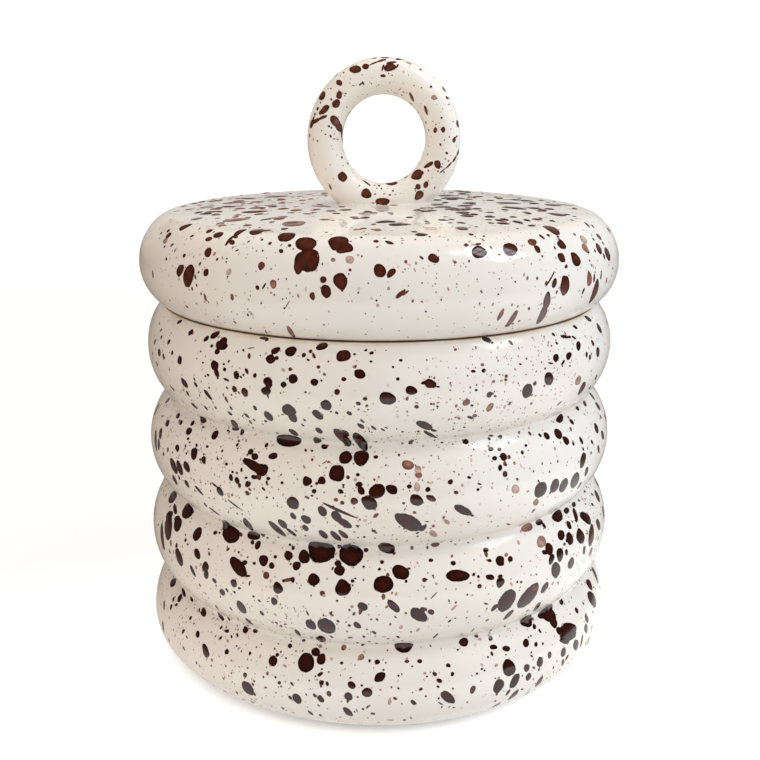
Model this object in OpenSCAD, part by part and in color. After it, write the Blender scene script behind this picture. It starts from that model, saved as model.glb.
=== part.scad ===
// Storage jar in glazed earthenware: a pot of stacked round bulges, a hollow lid whose
// collar drops into the pot's mouth, and a ring handle luted to the crown of the lid.
// The jar stands on the XY plane with its axis on Z, and the ring faces -Y.
// All sizes are in millimetres and all angles in degrees.

/* [Pot] */
// Number of bulges stacked up the pot
bulge_count = 4; // [2:1:6]
// Radius of the pot at the widest line of its top bulge
top_bulge_r = 98.7; // [92:0.1:108]
// How much wider each bulge is than the one above it
bulge_widening = 1.2; // [0:0.1:2]
// Height from one bulge to the next
bulge_pitch = 39.6; // [36:0.1:43]
// Radius of the arc that rounds each bulge
bulge_arc_r = 26.2; // [24:0.1:32]
// Radius of the soft crease between two bulges
crease_r = 2; // [0.5:0.1:5]
// Height of the lowest bulge's widest line above the table
low_bulge_z = 18.1; // [15:0.1:24]
// Thickness of the pot's wall
pot_wall = 6; // [4:0.1:8]
// Thickness of the pot's floor
floor_t = 7; // [5:0.1:9]

/* [Rim] */
// Height of the rim above the top bulge's widest line
rim_rise = 18.2; // [14:0.1:20]
// Height of the straight neck inside the rim
neck_h = 2; // [1.5:0.1:6]
// Radius of the softened edges of the rim and of the lid above it
edge_r = 0.8; // [0.3:0.1:1.2]

/* [Foot] */
// How far the pot turns in below its lowest bulge
base_turn = 23.4; // [18:0.1:28]
// Height of the foot ring
foot_h = 1.2; // [0.6:0.1:3]
// How far the foot ring is set in from where the pot stops turning in
foot_inset = 2; // [0.5:0.1:5]
// Width of the foot ring
foot_w = 6; // [4:0.1:10]
// Depth of the recess inside the foot ring
foot_recess = 2.4; // [1:0.1:4]

/* [Lid] */
// How far the lid's widest line stands out past the pot's rim
lid_overhang = 8.6; // [6:0.1:12]
// Height of the lid's widest line above the pot's rim
lid_waist_h = 16.5; // [13:0.1:20]
// Radius of the arc that rounds the lid's flank above its widest line
lid_flank_r = 22.3; // [18:0.1:28]
// Angle that the flank's arc turns through before the shoulder
lid_flank_angle = 46; // [30:1:60]
// Radius of the arc that rounds the lid's shoulder
lid_shoulder_r = 13; // [10:0.1:17]
// Slope of the crown where it meets the shoulder
crown_slope = 4; // [2:0.5:8]
// Radius of the level pad in the middle of the crown
pad_r = 30; // [26:0.5:40]
// Thickness of the lid's wall
lid_wall = 6; // [4:0.1:8]

/* [Lid seat] */
// Height of the open seam between the lid's edge and the pot's rim
seam_gap = 0.5; // [0.2:0.1:1]
// How far the seam runs in before the lid sits on the rim
seam_depth = 3; // [1:0.1:4]
// Play between the lid's collar and the pot's mouth
collar_play = 1.5; // [0.5:0.1:3]
// Width of the collar
collar_w = 5; // [4:0.1:7]
// How far the collar reaches down into the pot
collar_h = 11; // [6:0.1:16]
// Bevel on the collar's lower edges
collar_bevel = 1.2; // [0.4:0.1:1.8]

/* [Ring handle] */
// Radius of the ring, to the middle of its round section
ring_r = 24.5; // [20:0.1:28]
// How much taller than round the ring is
ring_stretch = 2; // [0.5:0.1:6]
// Radius of the ring's round section
tube_r = 7.4; // [5:0.1:9]
// How much of the section's underside is pressed flat on the crown
ring_press = 7; // [4:0.1:9]
// How far the ring stands off the middle, to the right
ring_shift = 2; // [0:0.1:4]

/* [Hidden] */
$fn = 128;
glaze = "#e9e4d8";
// Angle between neighbouring points of a rounded stretch of outline
arc_step = 6;

// Points of an oval stretch round centre c, half width a and half height b.
// Its first point is left out, because the stretch before it ends there.
function oval(c, a, b, from, to) =
    let (steps = ceil(abs(to - from) / arc_step))
    [for (i = [1:steps])
        let (angle = from + (to - from) * i / steps)
        c + [a * cos(angle), b * sin(angle)]];
function arc(c, r, from, to) = oval(c, r, r, from, to);
// Direction from one point to another
function heading(from, to) = atan2(to.y - from.y, to.x - from.x);
function reversed(points) = [for (i = [len(points) - 1:-1:0]) points[i]];

// Bulges, counted from 0 at the bottom
top_bulge = bulge_count - 1;
function bulge_r(k) = top_bulge_r + bulge_widening * (top_bulge - k);
function bulge_centre(k) = [bulge_r(k) - bulge_arc_r, low_bulge_z + k * bulge_pitch];
// The crease above bulge k is an arc that touches both its bulges from outside
function crease_centre(k) =
    let (below = bulge_centre(k), above = bulge_centre(k + 1), span = above - below)
    (below + above) / 2
        + [span.y, -span.x] / norm(span)
            * sqrt(pow(bulge_arc_r + crease_r, 2) - pow(norm(span) / 2, 2));

// Rim and mouth, at the top of the top bulge
top_centre = bulge_centre(top_bulge);
rim_z = top_centre.y + rim_rise;
rim_r = top_centre.x + sqrt(pow(bulge_arc_r, 2) - pow(rim_rise, 2));
rim_edge_x = top_centre.x + sqrt(pow(bulge_arc_r - edge_r, 2) - pow(rim_rise - edge_r, 2));
rim_edge = [rim_edge_x, rim_z - edge_r];
rim_angle = heading(top_centre, rim_edge);
inner_arc_r = bulge_arc_r - pot_wall;
neck_angle = asin((rim_rise - neck_h) / inner_arc_r);
mouth_r = top_centre.x + inner_arc_r * cos(neck_angle);
mouth_edge = [mouth_r + edge_r, rim_z - edge_r];

// Base and foot
base_r = bulge_r(0) - base_turn;
base_centre = [base_r, low_bulge_z];
foot_r = base_r - foot_inset;
floor_z = foot_recess + floor_t;

// Lid, from its lower edge up to its crown
lid_r = rim_r + lid_overhang;
waist_z = rim_z + lid_waist_h;
under_h = lid_waist_h - seam_gap;
under_arc_r = (pow(lid_overhang, 2) + pow(under_h, 2)) / (2 * lid_overhang);
under_centre = [lid_r - under_arc_r, waist_z];
lid_edge_x = under_centre.x + sqrt(pow(under_arc_r - edge_r, 2) - pow(under_h - edge_r, 2));
lid_edge = [lid_edge_x, rim_z + seam_gap + edge_r];
under_angle = heading(under_centre, lid_edge);
flank_centre = [lid_r - lid_flank_r, waist_z];
shoulder_centre = flank_centre
    + (lid_flank_r - lid_shoulder_r) * [cos(lid_flank_angle), sin(lid_flank_angle)];
shoulder_angle = 90 - crown_slope;
crown_edge = shoulder_centre + lid_shoulder_r * [cos(shoulder_angle), sin(shoulder_angle)];
crown_arc_r = (crown_edge.x - pad_r) / cos(shoulder_angle);
crown_centre = [pad_r, crown_edge.y - crown_arc_r * sin(shoulder_angle)];
crown_z = crown_centre.y + crown_arc_r;

// Seat and collar under the lid
seat_r = rim_r - seam_depth;
collar_r = mouth_r - collar_play;
collar_inner_r = collar_r - collar_w;
collar_z = rim_z - collar_h;
ledge = under_centre + (under_arc_r - lid_wall) * [cos(under_angle), sin(under_angle)];

// Ring
ring_z = crown_z - ring_press + tube_r + ring_r + ring_stretch / 2;

// Face of the pot's wall at a depth below its outside, from the lowest bulge's widest
// line up to an angle on the top bulge: bulges and creases in turn, all parallel
function pot_face(depth, end_angle) =
    [for (k = [0:top_bulge])
        let (
            c = bulge_centre(k),
            start = k == 0 ? 0 : heading(c, crease_centre(k - 1)),
            end = k == top_bulge ? end_angle : heading(c, crease_centre(k))
        )
        each concat(arc(c, bulge_arc_r - depth, start, end),
            k == top_bulge ? [] : crease_face(k, depth))];

function crease_face(k, depth) =
    let (
        c = crease_centre(k),
        start = heading(c, bulge_centre(k)) + 360,
        end = heading(c, bulge_centre(k + 1))
    )
    arc(c, crease_r + depth, start, end);

// Face of the lid's wall at a depth below its outside, from its lower edge up to the pad
function lid_face(depth) = concat(
    arc(under_centre, under_arc_r - depth, under_angle, 0),
    arc(flank_centre, lid_flank_r - depth, 0, lid_flank_angle),
    arc(shoulder_centre, lid_shoulder_r - depth, lid_flank_angle, shoulder_angle),
    arc(crown_centre, crown_arc_r - depth, shoulder_angle, 90));

module pot_outline() {
    polygon(concat(
        [[foot_r, 0], [foot_r, foot_h], [base_r, foot_h]],
        oval(base_centre, base_turn, low_bulge_z - foot_h, -90, 0),
        pot_face(0, rim_angle),
        arc(rim_edge, edge_r, rim_angle, 90),
        [mouth_edge + [0, edge_r]],
        arc(mouth_edge, edge_r, 90, 180),
        reversed(pot_face(pot_wall, neck_angle)),
        [base_centre + [base_turn - pot_wall, 0]],
        oval(base_centre, base_turn - pot_wall, low_bulge_z - floor_z, 0, -90),
        [[0, floor_z], [0, foot_recess]],
        [[foot_r - foot_w - foot_recess, foot_recess], [foot_r - foot_w, 0]]));
}

module lid_outline() {
    polygon(concat(
        [[collar_r, rim_z], [seat_r, rim_z], [seat_r, rim_z + seam_gap]],
        [lid_edge - [0, edge_r]],
        arc(lid_edge, edge_r, -90, under_angle),
        lid_face(0),
        [[0, crown_z], [0, crown_z - lid_wall]],
        reversed(lid_face(lid_wall)),
        [ledge, [collar_inner_r, ledge.y]],
        [[collar_inner_r, collar_z + collar_bevel], [collar_inner_r + collar_bevel, collar_z]],
        [[collar_r - collar_bevel, collar_z], [collar_r, collar_z + collar_bevel]]));
}

// The ring's round section, swept over the half turn above its middle
module half_ring() {
    rotate([90, 0, 0]) rotate_extrude(angle = 180) translate([ring_r, 0]) circle(r = tube_r);
}

module full_ring() {
    translate([0, 0, ring_stretch / 2]) half_ring();
    translate([0, 0, -ring_stretch / 2]) mirror([0, 0, 1]) half_ring();
    for (side = [-1, 1])
        translate([side * ring_r, 0, -ring_stretch / 2]) cylinder(r = tube_r, h = ring_stretch);
}

module pot() {
    color(glaze) rotate_extrude() pot_outline();
}

module lid() {
    color(glaze) rotate_extrude() lid_outline();
}

// The ring's underside is cut level where it is pressed on the crown
module ring_handle() {
    color(glaze) translate([ring_shift, 0, 0]) difference() {
        translate([0, 0, ring_z]) full_ring();
        translate([0, 0, crown_z - 2 * ring_press])
            linear_extrude(2 * ring_press)
                square([4 * ring_r, 4 * tube_r], center = true);
    }
}

pot();
lid();
ring_handle();
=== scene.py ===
# %% [markdown]
# # A splattered storage jar
# The object is a lidded storage jar in cream-glazed earthenware: a pot of four round bulges, a pillow-shaped
# lid and an upright ring to lift it by. Dark red-brown glaze was flicked over it from a loaded brush.
# The CAD frame gives every place and size in metres, so the first step is to load it and read off the levels
# that the surfaces below have to meet.

import bpy
import numpy as np
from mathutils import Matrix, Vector


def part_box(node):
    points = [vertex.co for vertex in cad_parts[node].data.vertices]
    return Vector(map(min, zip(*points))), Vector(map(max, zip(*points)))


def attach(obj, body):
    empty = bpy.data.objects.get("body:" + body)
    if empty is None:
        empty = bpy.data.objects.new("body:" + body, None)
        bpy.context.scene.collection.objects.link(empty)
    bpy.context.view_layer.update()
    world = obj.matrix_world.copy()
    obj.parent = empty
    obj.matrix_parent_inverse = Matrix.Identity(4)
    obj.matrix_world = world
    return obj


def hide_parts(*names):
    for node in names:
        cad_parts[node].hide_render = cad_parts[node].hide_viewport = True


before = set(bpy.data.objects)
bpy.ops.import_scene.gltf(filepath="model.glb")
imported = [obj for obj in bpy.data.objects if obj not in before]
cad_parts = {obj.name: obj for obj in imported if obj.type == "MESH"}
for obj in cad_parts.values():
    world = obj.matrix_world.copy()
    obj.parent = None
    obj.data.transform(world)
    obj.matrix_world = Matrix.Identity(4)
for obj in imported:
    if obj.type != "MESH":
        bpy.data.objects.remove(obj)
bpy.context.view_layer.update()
MM = 0.001
pot_high = np.array(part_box("pot")[1])
lid_high = np.array(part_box("lid")[1])
ring_low, ring_high = (np.array(corner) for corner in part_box("ring_handle"))
rim_z = pot_high[2]
crown_z = lid_high[2]
DROP_ROOM = 0.15 * MM
widest_r = min(pot_high[0], pot_high[1]) - DROP_ROOM
print(f"rim at {rim_z / MM:.1f} mm, crown at {crown_z / MM:.1f} mm, widest radius {widest_r / MM:.1f} mm")

# %% [markdown]
# ## Camera
# The photograph was taken from a little above the lid with a moderate lens. The distance, tilt and lens were
# worked out from the ovals that the seam, the creases and the foot make in the picture. The camera comes
# first, because the drops that can be told apart in the photograph are laid out by its view further down.

# %% Camera
FRAME_PX = 760
FOCAL_PX = 1028.0
SENSOR_MM = 36.0
CAMERA_AT = np.array([0.0004, -0.4363, 0.2396])
CAMERA_TILT = np.radians(15.84)

camera_data = bpy.data.cameras.new("photo_camera")
camera_data.sensor_width = SENSOR_MM
camera_data.lens = FOCAL_PX / FRAME_PX * SENSOR_MM
camera = bpy.data.objects.new("photo_camera", camera_data)
camera.location = CAMERA_AT
camera.rotation_euler = (np.pi / 2 - CAMERA_TILT, 0.0, 0.0)
bpy.context.scene.collection.objects.link(camera)
bpy.context.scene.camera = camera
print(f"lens {camera_data.lens:.1f} mm")

# %% [markdown]
# ## Outlines
# Pot and lid are turned forms, so each is one outline carried round the axis. An outline here is a list of
# points (radius, height) made of arcs that run smoothly into one another. The same outline serves twice: it
# makes the mesh, and it tells the drops of glaze where the surface is.

# %% Arcs and outlines
STEP, COARSE_STEP, FLAT_STEP, DISC_STEP = 0.8 * MM, 2 * MM, 3 * MM, 6 * MM
EDGE_STEP, MOUTH_STEP, CREASE_STEP, SEAT_STEP = 0.25 * MM, 0.3 * MM, 0.4 * MM, 1 * MM
SAME_POINT = 0.01 * MM


def arc(centre, radius, start, end, step=STEP, squash=1.0):
    """Points of an arc, about a step apart: centre + radius * (cos, squash * sin) of an angle in degrees."""
    count = max(4, int(np.ceil(abs(np.radians(end - start)) * radius / step)))
    turn = np.radians(np.linspace(start, end, count + 1))
    return np.asarray(centre) + radius * np.column_stack([np.cos(turn), squash * np.sin(turn)])


def line(start, end, step=FLAT_STEP):
    """Points of a straight stretch, about a step apart."""
    start, end = np.asarray(start), np.asarray(end)
    count = max(1, int(np.ceil(np.linalg.norm(end - start) / step)))
    return start + np.linspace(0, 1, count + 1)[:, None] * (end - start)


def heading(start, end):
    """Direction in degrees from one point to another."""
    away = np.asarray(end) - np.asarray(start)
    return np.degrees(np.arctan2(away[1], away[0]))


def joined(*stretches):
    """One outline from stretches that follow each other, with points that repeat left out."""
    points = np.vstack(stretches)
    moved = np.linalg.norm(np.diff(points, axis=0), axis=1) > SAME_POINT
    return points[np.concatenate([[True], moved])]


print(f"a half turn at 10 mm takes {len(arc((0, 0), 10 * MM, 0, 180))} points")

# %% [markdown]
# The pot was cast in a mould of four rounded hollows, so its outline is four arcs with small creases between
# them. The inner face runs parallel, and a foot ring and a rim close it. It could be traced as one freehand
# curve, but with the CAD model's own values the mesh keeps close to the solid.

# %% Outline of the pot
BULGES = 4
BULGE_ARC = 26.2 * MM
BULGE_PITCH = 39.6 * MM
BULGE_WIDENING = 1.2 * MM
LOW_BULGE_Z = 18.1 * MM
CREASE = 2.0 * MM

bulge_at = [
    np.array([widest_r - BULGE_WIDENING * k - BULGE_ARC, LOW_BULGE_Z + BULGE_PITCH * k])
    for k in range(BULGES)
]


def crease_at(k):
    """Centre of the crease above bulge k: it lies outside both bulges and touches them."""
    below, above = bulge_at[k], bulge_at[k + 1]
    span = above - below
    half = np.linalg.norm(span) / 2
    outward = np.array([span[1], -span[0]]) / (2 * half)
    return (below + above) / 2 + outward * np.sqrt((BULGE_ARC + CREASE) ** 2 - half**2)


def pot_face(depth, last):
    """Face of the wall at a depth below its outside: bulge and crease arcs in turn, up to an angle."""
    stretches = []
    for k, centre in enumerate(bulge_at):
        start = 0 if k == 0 else heading(centre, crease_at(k - 1))
        end = last if k == BULGES - 1 else heading(centre, crease_at(k))
        stretches.append(arc(centre, BULGE_ARC - depth, start, end))
        if k < BULGES - 1:
            crease = crease_at(k)
            start, end = heading(crease, centre) + 360, heading(crease, bulge_at[k + 1])
            stretches.append(arc(crease, CREASE + depth, start, end, CREASE_STEP))
    return np.vstack(stretches)


print(f"{BULGES} bulges, the lowest crease {crease_at(0)[1] / MM:.1f} mm up")

# %% Rim, foot and whole outline of the pot
RIM_RISE = 18.2 * MM
POT_WALL = 6.0 * MM
NECK = 2.0 * MM
EDGE = 0.8 * MM
BASE_TURN = 23.4 * MM
FOOT_HEIGHT = 1.2 * MM
FOOT_INSET = 2.0 * MM
FOOT_WIDTH = 6.0 * MM
FOOT_RECESS = 2.4 * MM
FLOOR = 9.4 * MM

top_bulge = bulge_at[-1]
base_r = widest_r - BASE_TURN
inner_turn = BASE_TURN - POT_WALL
foot_r = base_r - FOOT_INSET
rim_edge_r = top_bulge[0] + np.sqrt((BULGE_ARC - EDGE) ** 2 - (RIM_RISE - EDGE) ** 2)
rim_edge = np.array([rim_edge_r, rim_z - EDGE])
neck_angle = np.degrees(np.arcsin((RIM_RISE - NECK) / (BULGE_ARC - POT_WALL)))
mouth_r = top_bulge[0] + (BULGE_ARC - POT_WALL) * np.cos(np.radians(neck_angle))

pot_outside = joined(
    arc((base_r, LOW_BULGE_Z), BASE_TURN, -90, 0, squash=(LOW_BULGE_Z - FOOT_HEIGHT) / BASE_TURN),
    pot_face(0, heading(top_bulge, rim_edge)),
    arc(rim_edge, EDGE, heading(top_bulge, rim_edge), 90, EDGE_STEP),
)
pot_inside = joined(
    line((rim_edge[0], rim_z), (mouth_r + EDGE, rim_z)),
    arc((mouth_r + EDGE, rim_z - EDGE), EDGE, 90, 180, MOUTH_STEP),
    pot_face(POT_WALL, neck_angle)[::-3],
    arc((base_r, LOW_BULGE_Z), inner_turn, 0, -90, COARSE_STEP, (LOW_BULGE_Z - FLOOR) / inner_turn),
    line((base_r, FLOOR), (0, FLOOR), DISC_STEP),
)
pot_underside = joined(
    line((0, FOOT_RECESS), (foot_r - FOOT_WIDTH - FOOT_RECESS, FOOT_RECESS), DISC_STEP),
    line((foot_r - FOOT_WIDTH, 0), (foot_r, 0), COARSE_STEP),
    line((foot_r, FOOT_HEIGHT), (base_r, FOOT_HEIGHT), SEAT_STEP),
)
print(f"pot outline: {len(pot_underside)} + {len(pot_outside)} + {len(pot_inside)} points")

# %% [markdown]
# The lid is a hollow cushion: an underside that swells out past the rim, a flank, a shoulder and a nearly
# level crown, each an arc that runs into the next. Under it a collar drops into the pot's mouth, and a thin
# open seam runs round it, a little higher and deeper than in the CAD model, so that its shadow reads. The
# outline starts on the axis under the crown and ends on top of it.

# %% Outline of the lid
LID_OVERHANG = 8.6 * MM
LID_WAIST = 16.5 * MM
LID_FLANK = 22.3 * MM
LID_FLANK_TURN = 46
LID_SHOULDER = 13.0 * MM
CROWN_SLOPE = 4
PAD_R = 30.0 * MM
SEAM_GAP = 0.6 * MM

rim_r = top_bulge[0] + np.sqrt(BULGE_ARC**2 - RIM_RISE**2)
lid_r = min(lid_high[0], rim_r + LID_OVERHANG)
waist_z = rim_z + LID_WAIST
under_height = LID_WAIST - SEAM_GAP
under_arc = (LID_OVERHANG**2 + under_height**2) / (2 * LID_OVERHANG)
under_at = np.array([lid_r - under_arc, waist_z])
lid_edge_r = under_at[0] + np.sqrt((under_arc - EDGE) ** 2 - (under_height - EDGE) ** 2)
lid_edge = np.array([lid_edge_r, rim_z + SEAM_GAP + EDGE])
under_turn = heading(under_at, lid_edge)
flank_at = np.array([lid_r - LID_FLANK, waist_z])
flank_end = np.radians(LID_FLANK_TURN)
shoulder_at = flank_at + (LID_FLANK - LID_SHOULDER) * np.array([np.cos(flank_end), np.sin(flank_end)])
shoulder_end = np.radians(90 - CROWN_SLOPE)
crown_edge = shoulder_at + LID_SHOULDER * np.array([np.cos(shoulder_end), np.sin(shoulder_end)])
crown_arc = (crown_edge[0] - PAD_R) / np.cos(shoulder_end)
crown_at = np.array([PAD_R, crown_z - crown_arc])


def lid_face(depth, step):
    """Face of the lid's wall at a depth below its outside: underside, flank, shoulder and crown in turn."""
    return joined(
        arc(under_at, under_arc - depth, under_turn, 0, step),
        arc(flank_at, LID_FLANK - depth, 0, LID_FLANK_TURN, step),
        arc(shoulder_at, LID_SHOULDER - depth, LID_FLANK_TURN, 90 - CROWN_SLOPE, step),
        arc(crown_at, crown_arc - depth, 90 - CROWN_SLOPE, 90, 2 * step),
    )


print(f"lid radius {lid_r / MM:.1f} mm, crown {2 * crown_edge[0] / MM:.0f} mm across")

# %% Collar and whole outline of the lid
LID_WALL = 6.0 * MM
SEAM_DEPTH = 4.4 * MM
COLLAR_PLAY = 1.5 * MM
COLLAR_WIDTH = 5.0 * MM
COLLAR_HEIGHT = 11.0 * MM
COLLAR_STEP = 0.5 * MM

collar_r = mouth_r - COLLAR_PLAY
collar_inner_r = collar_r - COLLAR_WIDTH
collar_z = rim_z - COLLAR_HEIGHT
ledge = lid_face(LID_WALL, SEAT_STEP)[0]
collar_round = COLLAR_WIDTH / 2
lid_outside = joined(
    arc(lid_edge, EDGE, -90, under_turn, EDGE_STEP),
    lid_face(0, STEP),
    line((PAD_R, crown_z), (0, crown_z), COARSE_STEP),
)
lid_inside = joined(
    line((0, crown_z - LID_WALL), (PAD_R, crown_z - LID_WALL), DISC_STEP),
    lid_face(LID_WALL, COARSE_STEP)[::-1],
    line(ledge, (collar_inner_r, ledge[1])),
    line((collar_inner_r, ledge[1]), (collar_inner_r, collar_z + collar_round)),
    arc((collar_inner_r + collar_round, collar_z + collar_round), collar_round, 180, 360, COLLAR_STEP),
    line((collar_r, collar_z + collar_round), (collar_r, rim_z)),
    line((collar_r, rim_z), (rim_r - SEAM_DEPTH, rim_z), SEAT_STEP),
    line((rim_r - SEAM_DEPTH, rim_z + SEAM_GAP), (lid_edge[0], rim_z + SEAM_GAP), SEAT_STEP),
)
print(f"lid outline: {len(lid_outside)} + {len(lid_inside)} points")

# %% [markdown]
# ## The hand in the making
# A slip-cast jar is never a perfect turned form: it slumps a little in the mould and the kiln. The photograph
# shows the creases a touch higher on the right than on the left. A smooth bend of the turned points gives the
# pot that slight lean. It fades out at foot and rim, so the pot still stands and the lid still fits.

# %% Slight slump of the castings
POT_LEAN = 0.7 * MM
POT_SLUMP = 0.3 * MM
LID_SLUMP = 0.25 * MM
FOOT_FADE = (2 * MM, 20 * MM)
RIM_FADE = (22 * MM, 4 * MM)
SHOULDER_FADE = 12 * MM


def smooth(value, low, high):
    """Soft step from 0 to 1: the cubic 3 t^2 - 2 t^3 of the share t of the way from low to high."""
    t = np.clip((value - low) / (high - low), 0, 1)
    return t * t * (3 - 2 * t)


def turned(radius, height, bearing):
    """Points of a turned form: (r cos b, r sin b, z) for a bearing b about the axis."""
    return np.stack([radius * np.cos(bearing), radius * np.sin(bearing), height + 0 * bearing], axis=-1)


def slumped_pot(radius, height, bearing):
    """The pot's turned points, leant by cos b in height and pulled in by slow waves round the axis."""
    free = smooth(height, *FOOT_FADE) * (1 - smooth(height, rim_z - RIM_FADE[0], rim_z - RIM_FADE[1]))
    lean = POT_LEAN * np.cos(bearing) * free * np.minimum(radius / widest_r, 1)
    waves = 1 + 0.6 * np.sin(2 * bearing + 0.7) + 0.4 * np.sin(3 * bearing + 30 * height)
    return turned(radius - POT_SLUMP / 2 * waves * free, height + lean, bearing)


def slumped_lid(radius, height, bearing):
    """The lid's turned points, with its shoulder let down by slow waves round the axis."""
    free = smooth(height, waist_z, waist_z + SHOULDER_FADE) * smooth(radius, PAD_R, crown_edge[0])
    waves = 1 + 0.7 * np.sin(2 * bearing + 2.1) + 0.3 * np.sin(5 * bearing)
    return turned(radius, height - LID_SLUMP / 2 * waves * free, bearing)


print(f"creases rise by up to {POT_LEAN / MM:.1f} mm on the right")

# %% [markdown]
# ## Turned meshes
# A grid of outline points by bearings is enough for a turned form. Both ends of the outline lie on the axis,
# so each end closes with a single point and a fan of triangles, and the mesh has no seam.

# %% Mesh helpers
SHARP_ANGLE = np.radians(50)


def add_piece(name, points, faces, body, slot):
    """A smooth-shaded mesh object from points and faces, riding on a CAD body."""
    mesh = bpy.data.meshes.new(name)
    mesh.from_pydata(points, [], faces)
    mesh.polygons.foreach_set("use_smooth", np.ones(len(mesh.polygons), dtype=bool))
    mesh.set_sharp_from_angle(angle=SHARP_ANGLE)
    mesh.update()
    piece = bpy.data.objects.new(name, mesh)
    bpy.context.scene.collection.objects.link(piece)
    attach(piece, body)
    return piece


def turned_mesh(outline, shape, bearings):
    """Points and faces of an outline carried round the axis, from one pole to the other."""
    bearing = np.linspace(0, 2 * np.pi, bearings, endpoint=False)
    rings = outline[1:-1]
    grid = shape(rings[:, :1], rings[:, 1:], bearing[None, :])
    poles = turned(np.zeros(2), outline[[0, -1], 1], np.zeros(2))
    points = np.vstack([grid.reshape(-1, 3), poles])
    column = np.arange(bearings)
    onward = (column + 1) % bearings
    row = np.arange(len(rings) - 1)[:, None] * bearings
    quads = np.stack([row + column, row + onward, row + bearings + onward, row + bearings + column], axis=-1)
    last = (len(rings) - 1) * bearings
    first_pole = np.full(bearings, len(points) - 2)
    last_pole = np.full(bearings, len(points) - 1)
    fans = [
        np.column_stack([first_pole, onward, column]),
        np.column_stack([last_pole, last + column, last + onward]),
    ]
    return points, quads.reshape(-1, 4).tolist() + np.vstack(fans).tolist()


print(f"{len(bpy.data.meshes)} meshes so far, from the CAD frame")

# %% Pot and lid
BEARINGS = 240
pot_outline = joined(pot_underside, pot_outside, pot_inside)
pot_piece = add_piece("pot_casting", *turned_mesh(pot_outline, slumped_pot, BEARINGS), "pot", "cream_glaze")
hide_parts("pot")
lid_outline = joined(lid_inside, lid_outside)
lid_piece = add_piece("lid_casting", *turned_mesh(lid_outline, slumped_lid, BEARINGS), "lid", "cream_glaze")
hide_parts("lid")
print(f"pot {len(pot_piece.data.polygons)} faces, lid {len(lid_piece.data.polygons)} faces")

# %% [markdown]
# ## Ring
# The ring is a coil of clay bent round and pressed on the lid, with a little slip wiped round its foot. It is
# a round section carried along an upright loop. Near the crown the section spreads in a small hollow curve,
# and what would lie under the crown is drawn flat just below the surface.

# %% Ring surface
RING_STRETCH = 2.0 * MM
SLIP = 1.0 * MM
COIL_SHARE, COIL_WAVE, COIL_FOOT = 0.98, 0.01, 0.05
FOOT_SPREAD = 0.7
UNDER_CROWN = 0.3 * MM
LEAST_LEVEL = 0.2
tube_r = (ring_high[1] - ring_low[1]) / 2
ring_x = (ring_low[0] + ring_high[0]) / 2
loop_r = (ring_high[0] - ring_low[0]) / 2 - tube_r - DROP_ROOM
ring_z = ring_high[2] - tube_r - loop_r - RING_STRETCH / 2


def coil_r(loop):
    """Radius of the section along the loop: a hand-rolled coil swells and thins slightly in slow waves, and
    spreads a little where it is pressed on the lid."""
    foot = np.exp(-((np.angle(np.exp(1j * (loop + np.pi / 2))) / FOOT_SPREAD) ** 2))
    return tube_r * (COIL_SHARE - COIL_WAVE * np.sin(3 * loop + 0.5) + COIL_FOOT * foot)


def ring_surface(loop, turn, lift=0.0):
    """Point of the ring: a section of radius t at angle turn, raised by a lift, on a loop of half width R and
    half height R + stretch / 2 at angle loop."""
    tube = coil_r(loop) + lift
    outward = np.stack([np.cos(loop), 0 * loop, np.sin(loop)], axis=-1)
    centre = np.stack([loop_r * np.cos(loop), 0 * loop, (loop_r + RING_STRETCH / 2) * np.sin(loop)], axis=-1)
    sideways = np.array([0.0, 1.0, 0.0])
    away = np.cos(turn)[..., None] * outward + np.sin(turn)[..., None] * sideways
    point = centre + tube[..., None] * away + np.array([ring_x, 0, ring_z])
    height = point[..., 2] - crown_z
    above = np.clip(height / SLIP, 0, 1)
    spread = SLIP * (1 - np.sqrt(1 - (1 - above) ** 2))
    spread = np.where(height < 0, np.clip(SLIP + height, 0, None), spread)
    level = away[..., :2] / np.maximum(np.linalg.norm(away[..., :2], axis=-1, keepdims=True), LEAST_LEVEL)
    point[..., :2] += spread[..., None] * level
    point[..., 2] = np.maximum(point[..., 2], crown_z - UNDER_CROWN)
    return point


print(f"ring: loop radius {loop_r / MM:.1f} mm, section {2 * tube_r / MM:.1f} mm")

# %% Ring mesh
LOOP_STEPS, TURN_STEPS = 300, 120
loop = np.linspace(0, 2 * np.pi, LOOP_STEPS, endpoint=False)[:, None] + np.zeros(TURN_STEPS)
turn = np.linspace(0, 2 * np.pi, TURN_STEPS, endpoint=False)[None, :] + np.zeros((LOOP_STEPS, 1))
index = np.arange(LOOP_STEPS * TURN_STEPS).reshape(LOOP_STEPS, TURN_STEPS)
ahead, beside = np.roll(index, -1, axis=0), np.roll(index, -1, axis=1)
ring_faces = np.stack([index, ahead, np.roll(ahead, -1, axis=1), beside], axis=-1).reshape(-1, 4)
ring_points = ring_surface(loop, turn).reshape(-1, 3)
ring_piece = add_piece("ring_coil", ring_points, ring_faces.tolist(), "lid", "cream_glaze")
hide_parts("ring_handle")
print(f"ring {len(ring_faces)} faces")

# %% [markdown]
# ## Floor and light
# The jar stands on white paper that curves up far behind it. A real photographer would hang one sheet at the
# back. Here the sheet is a wide bowl, so the ground is white from every side. The nearly level crown of the
# lid is seen at a grazing angle and mirrors the far rise of the paper, which lightens it.

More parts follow.
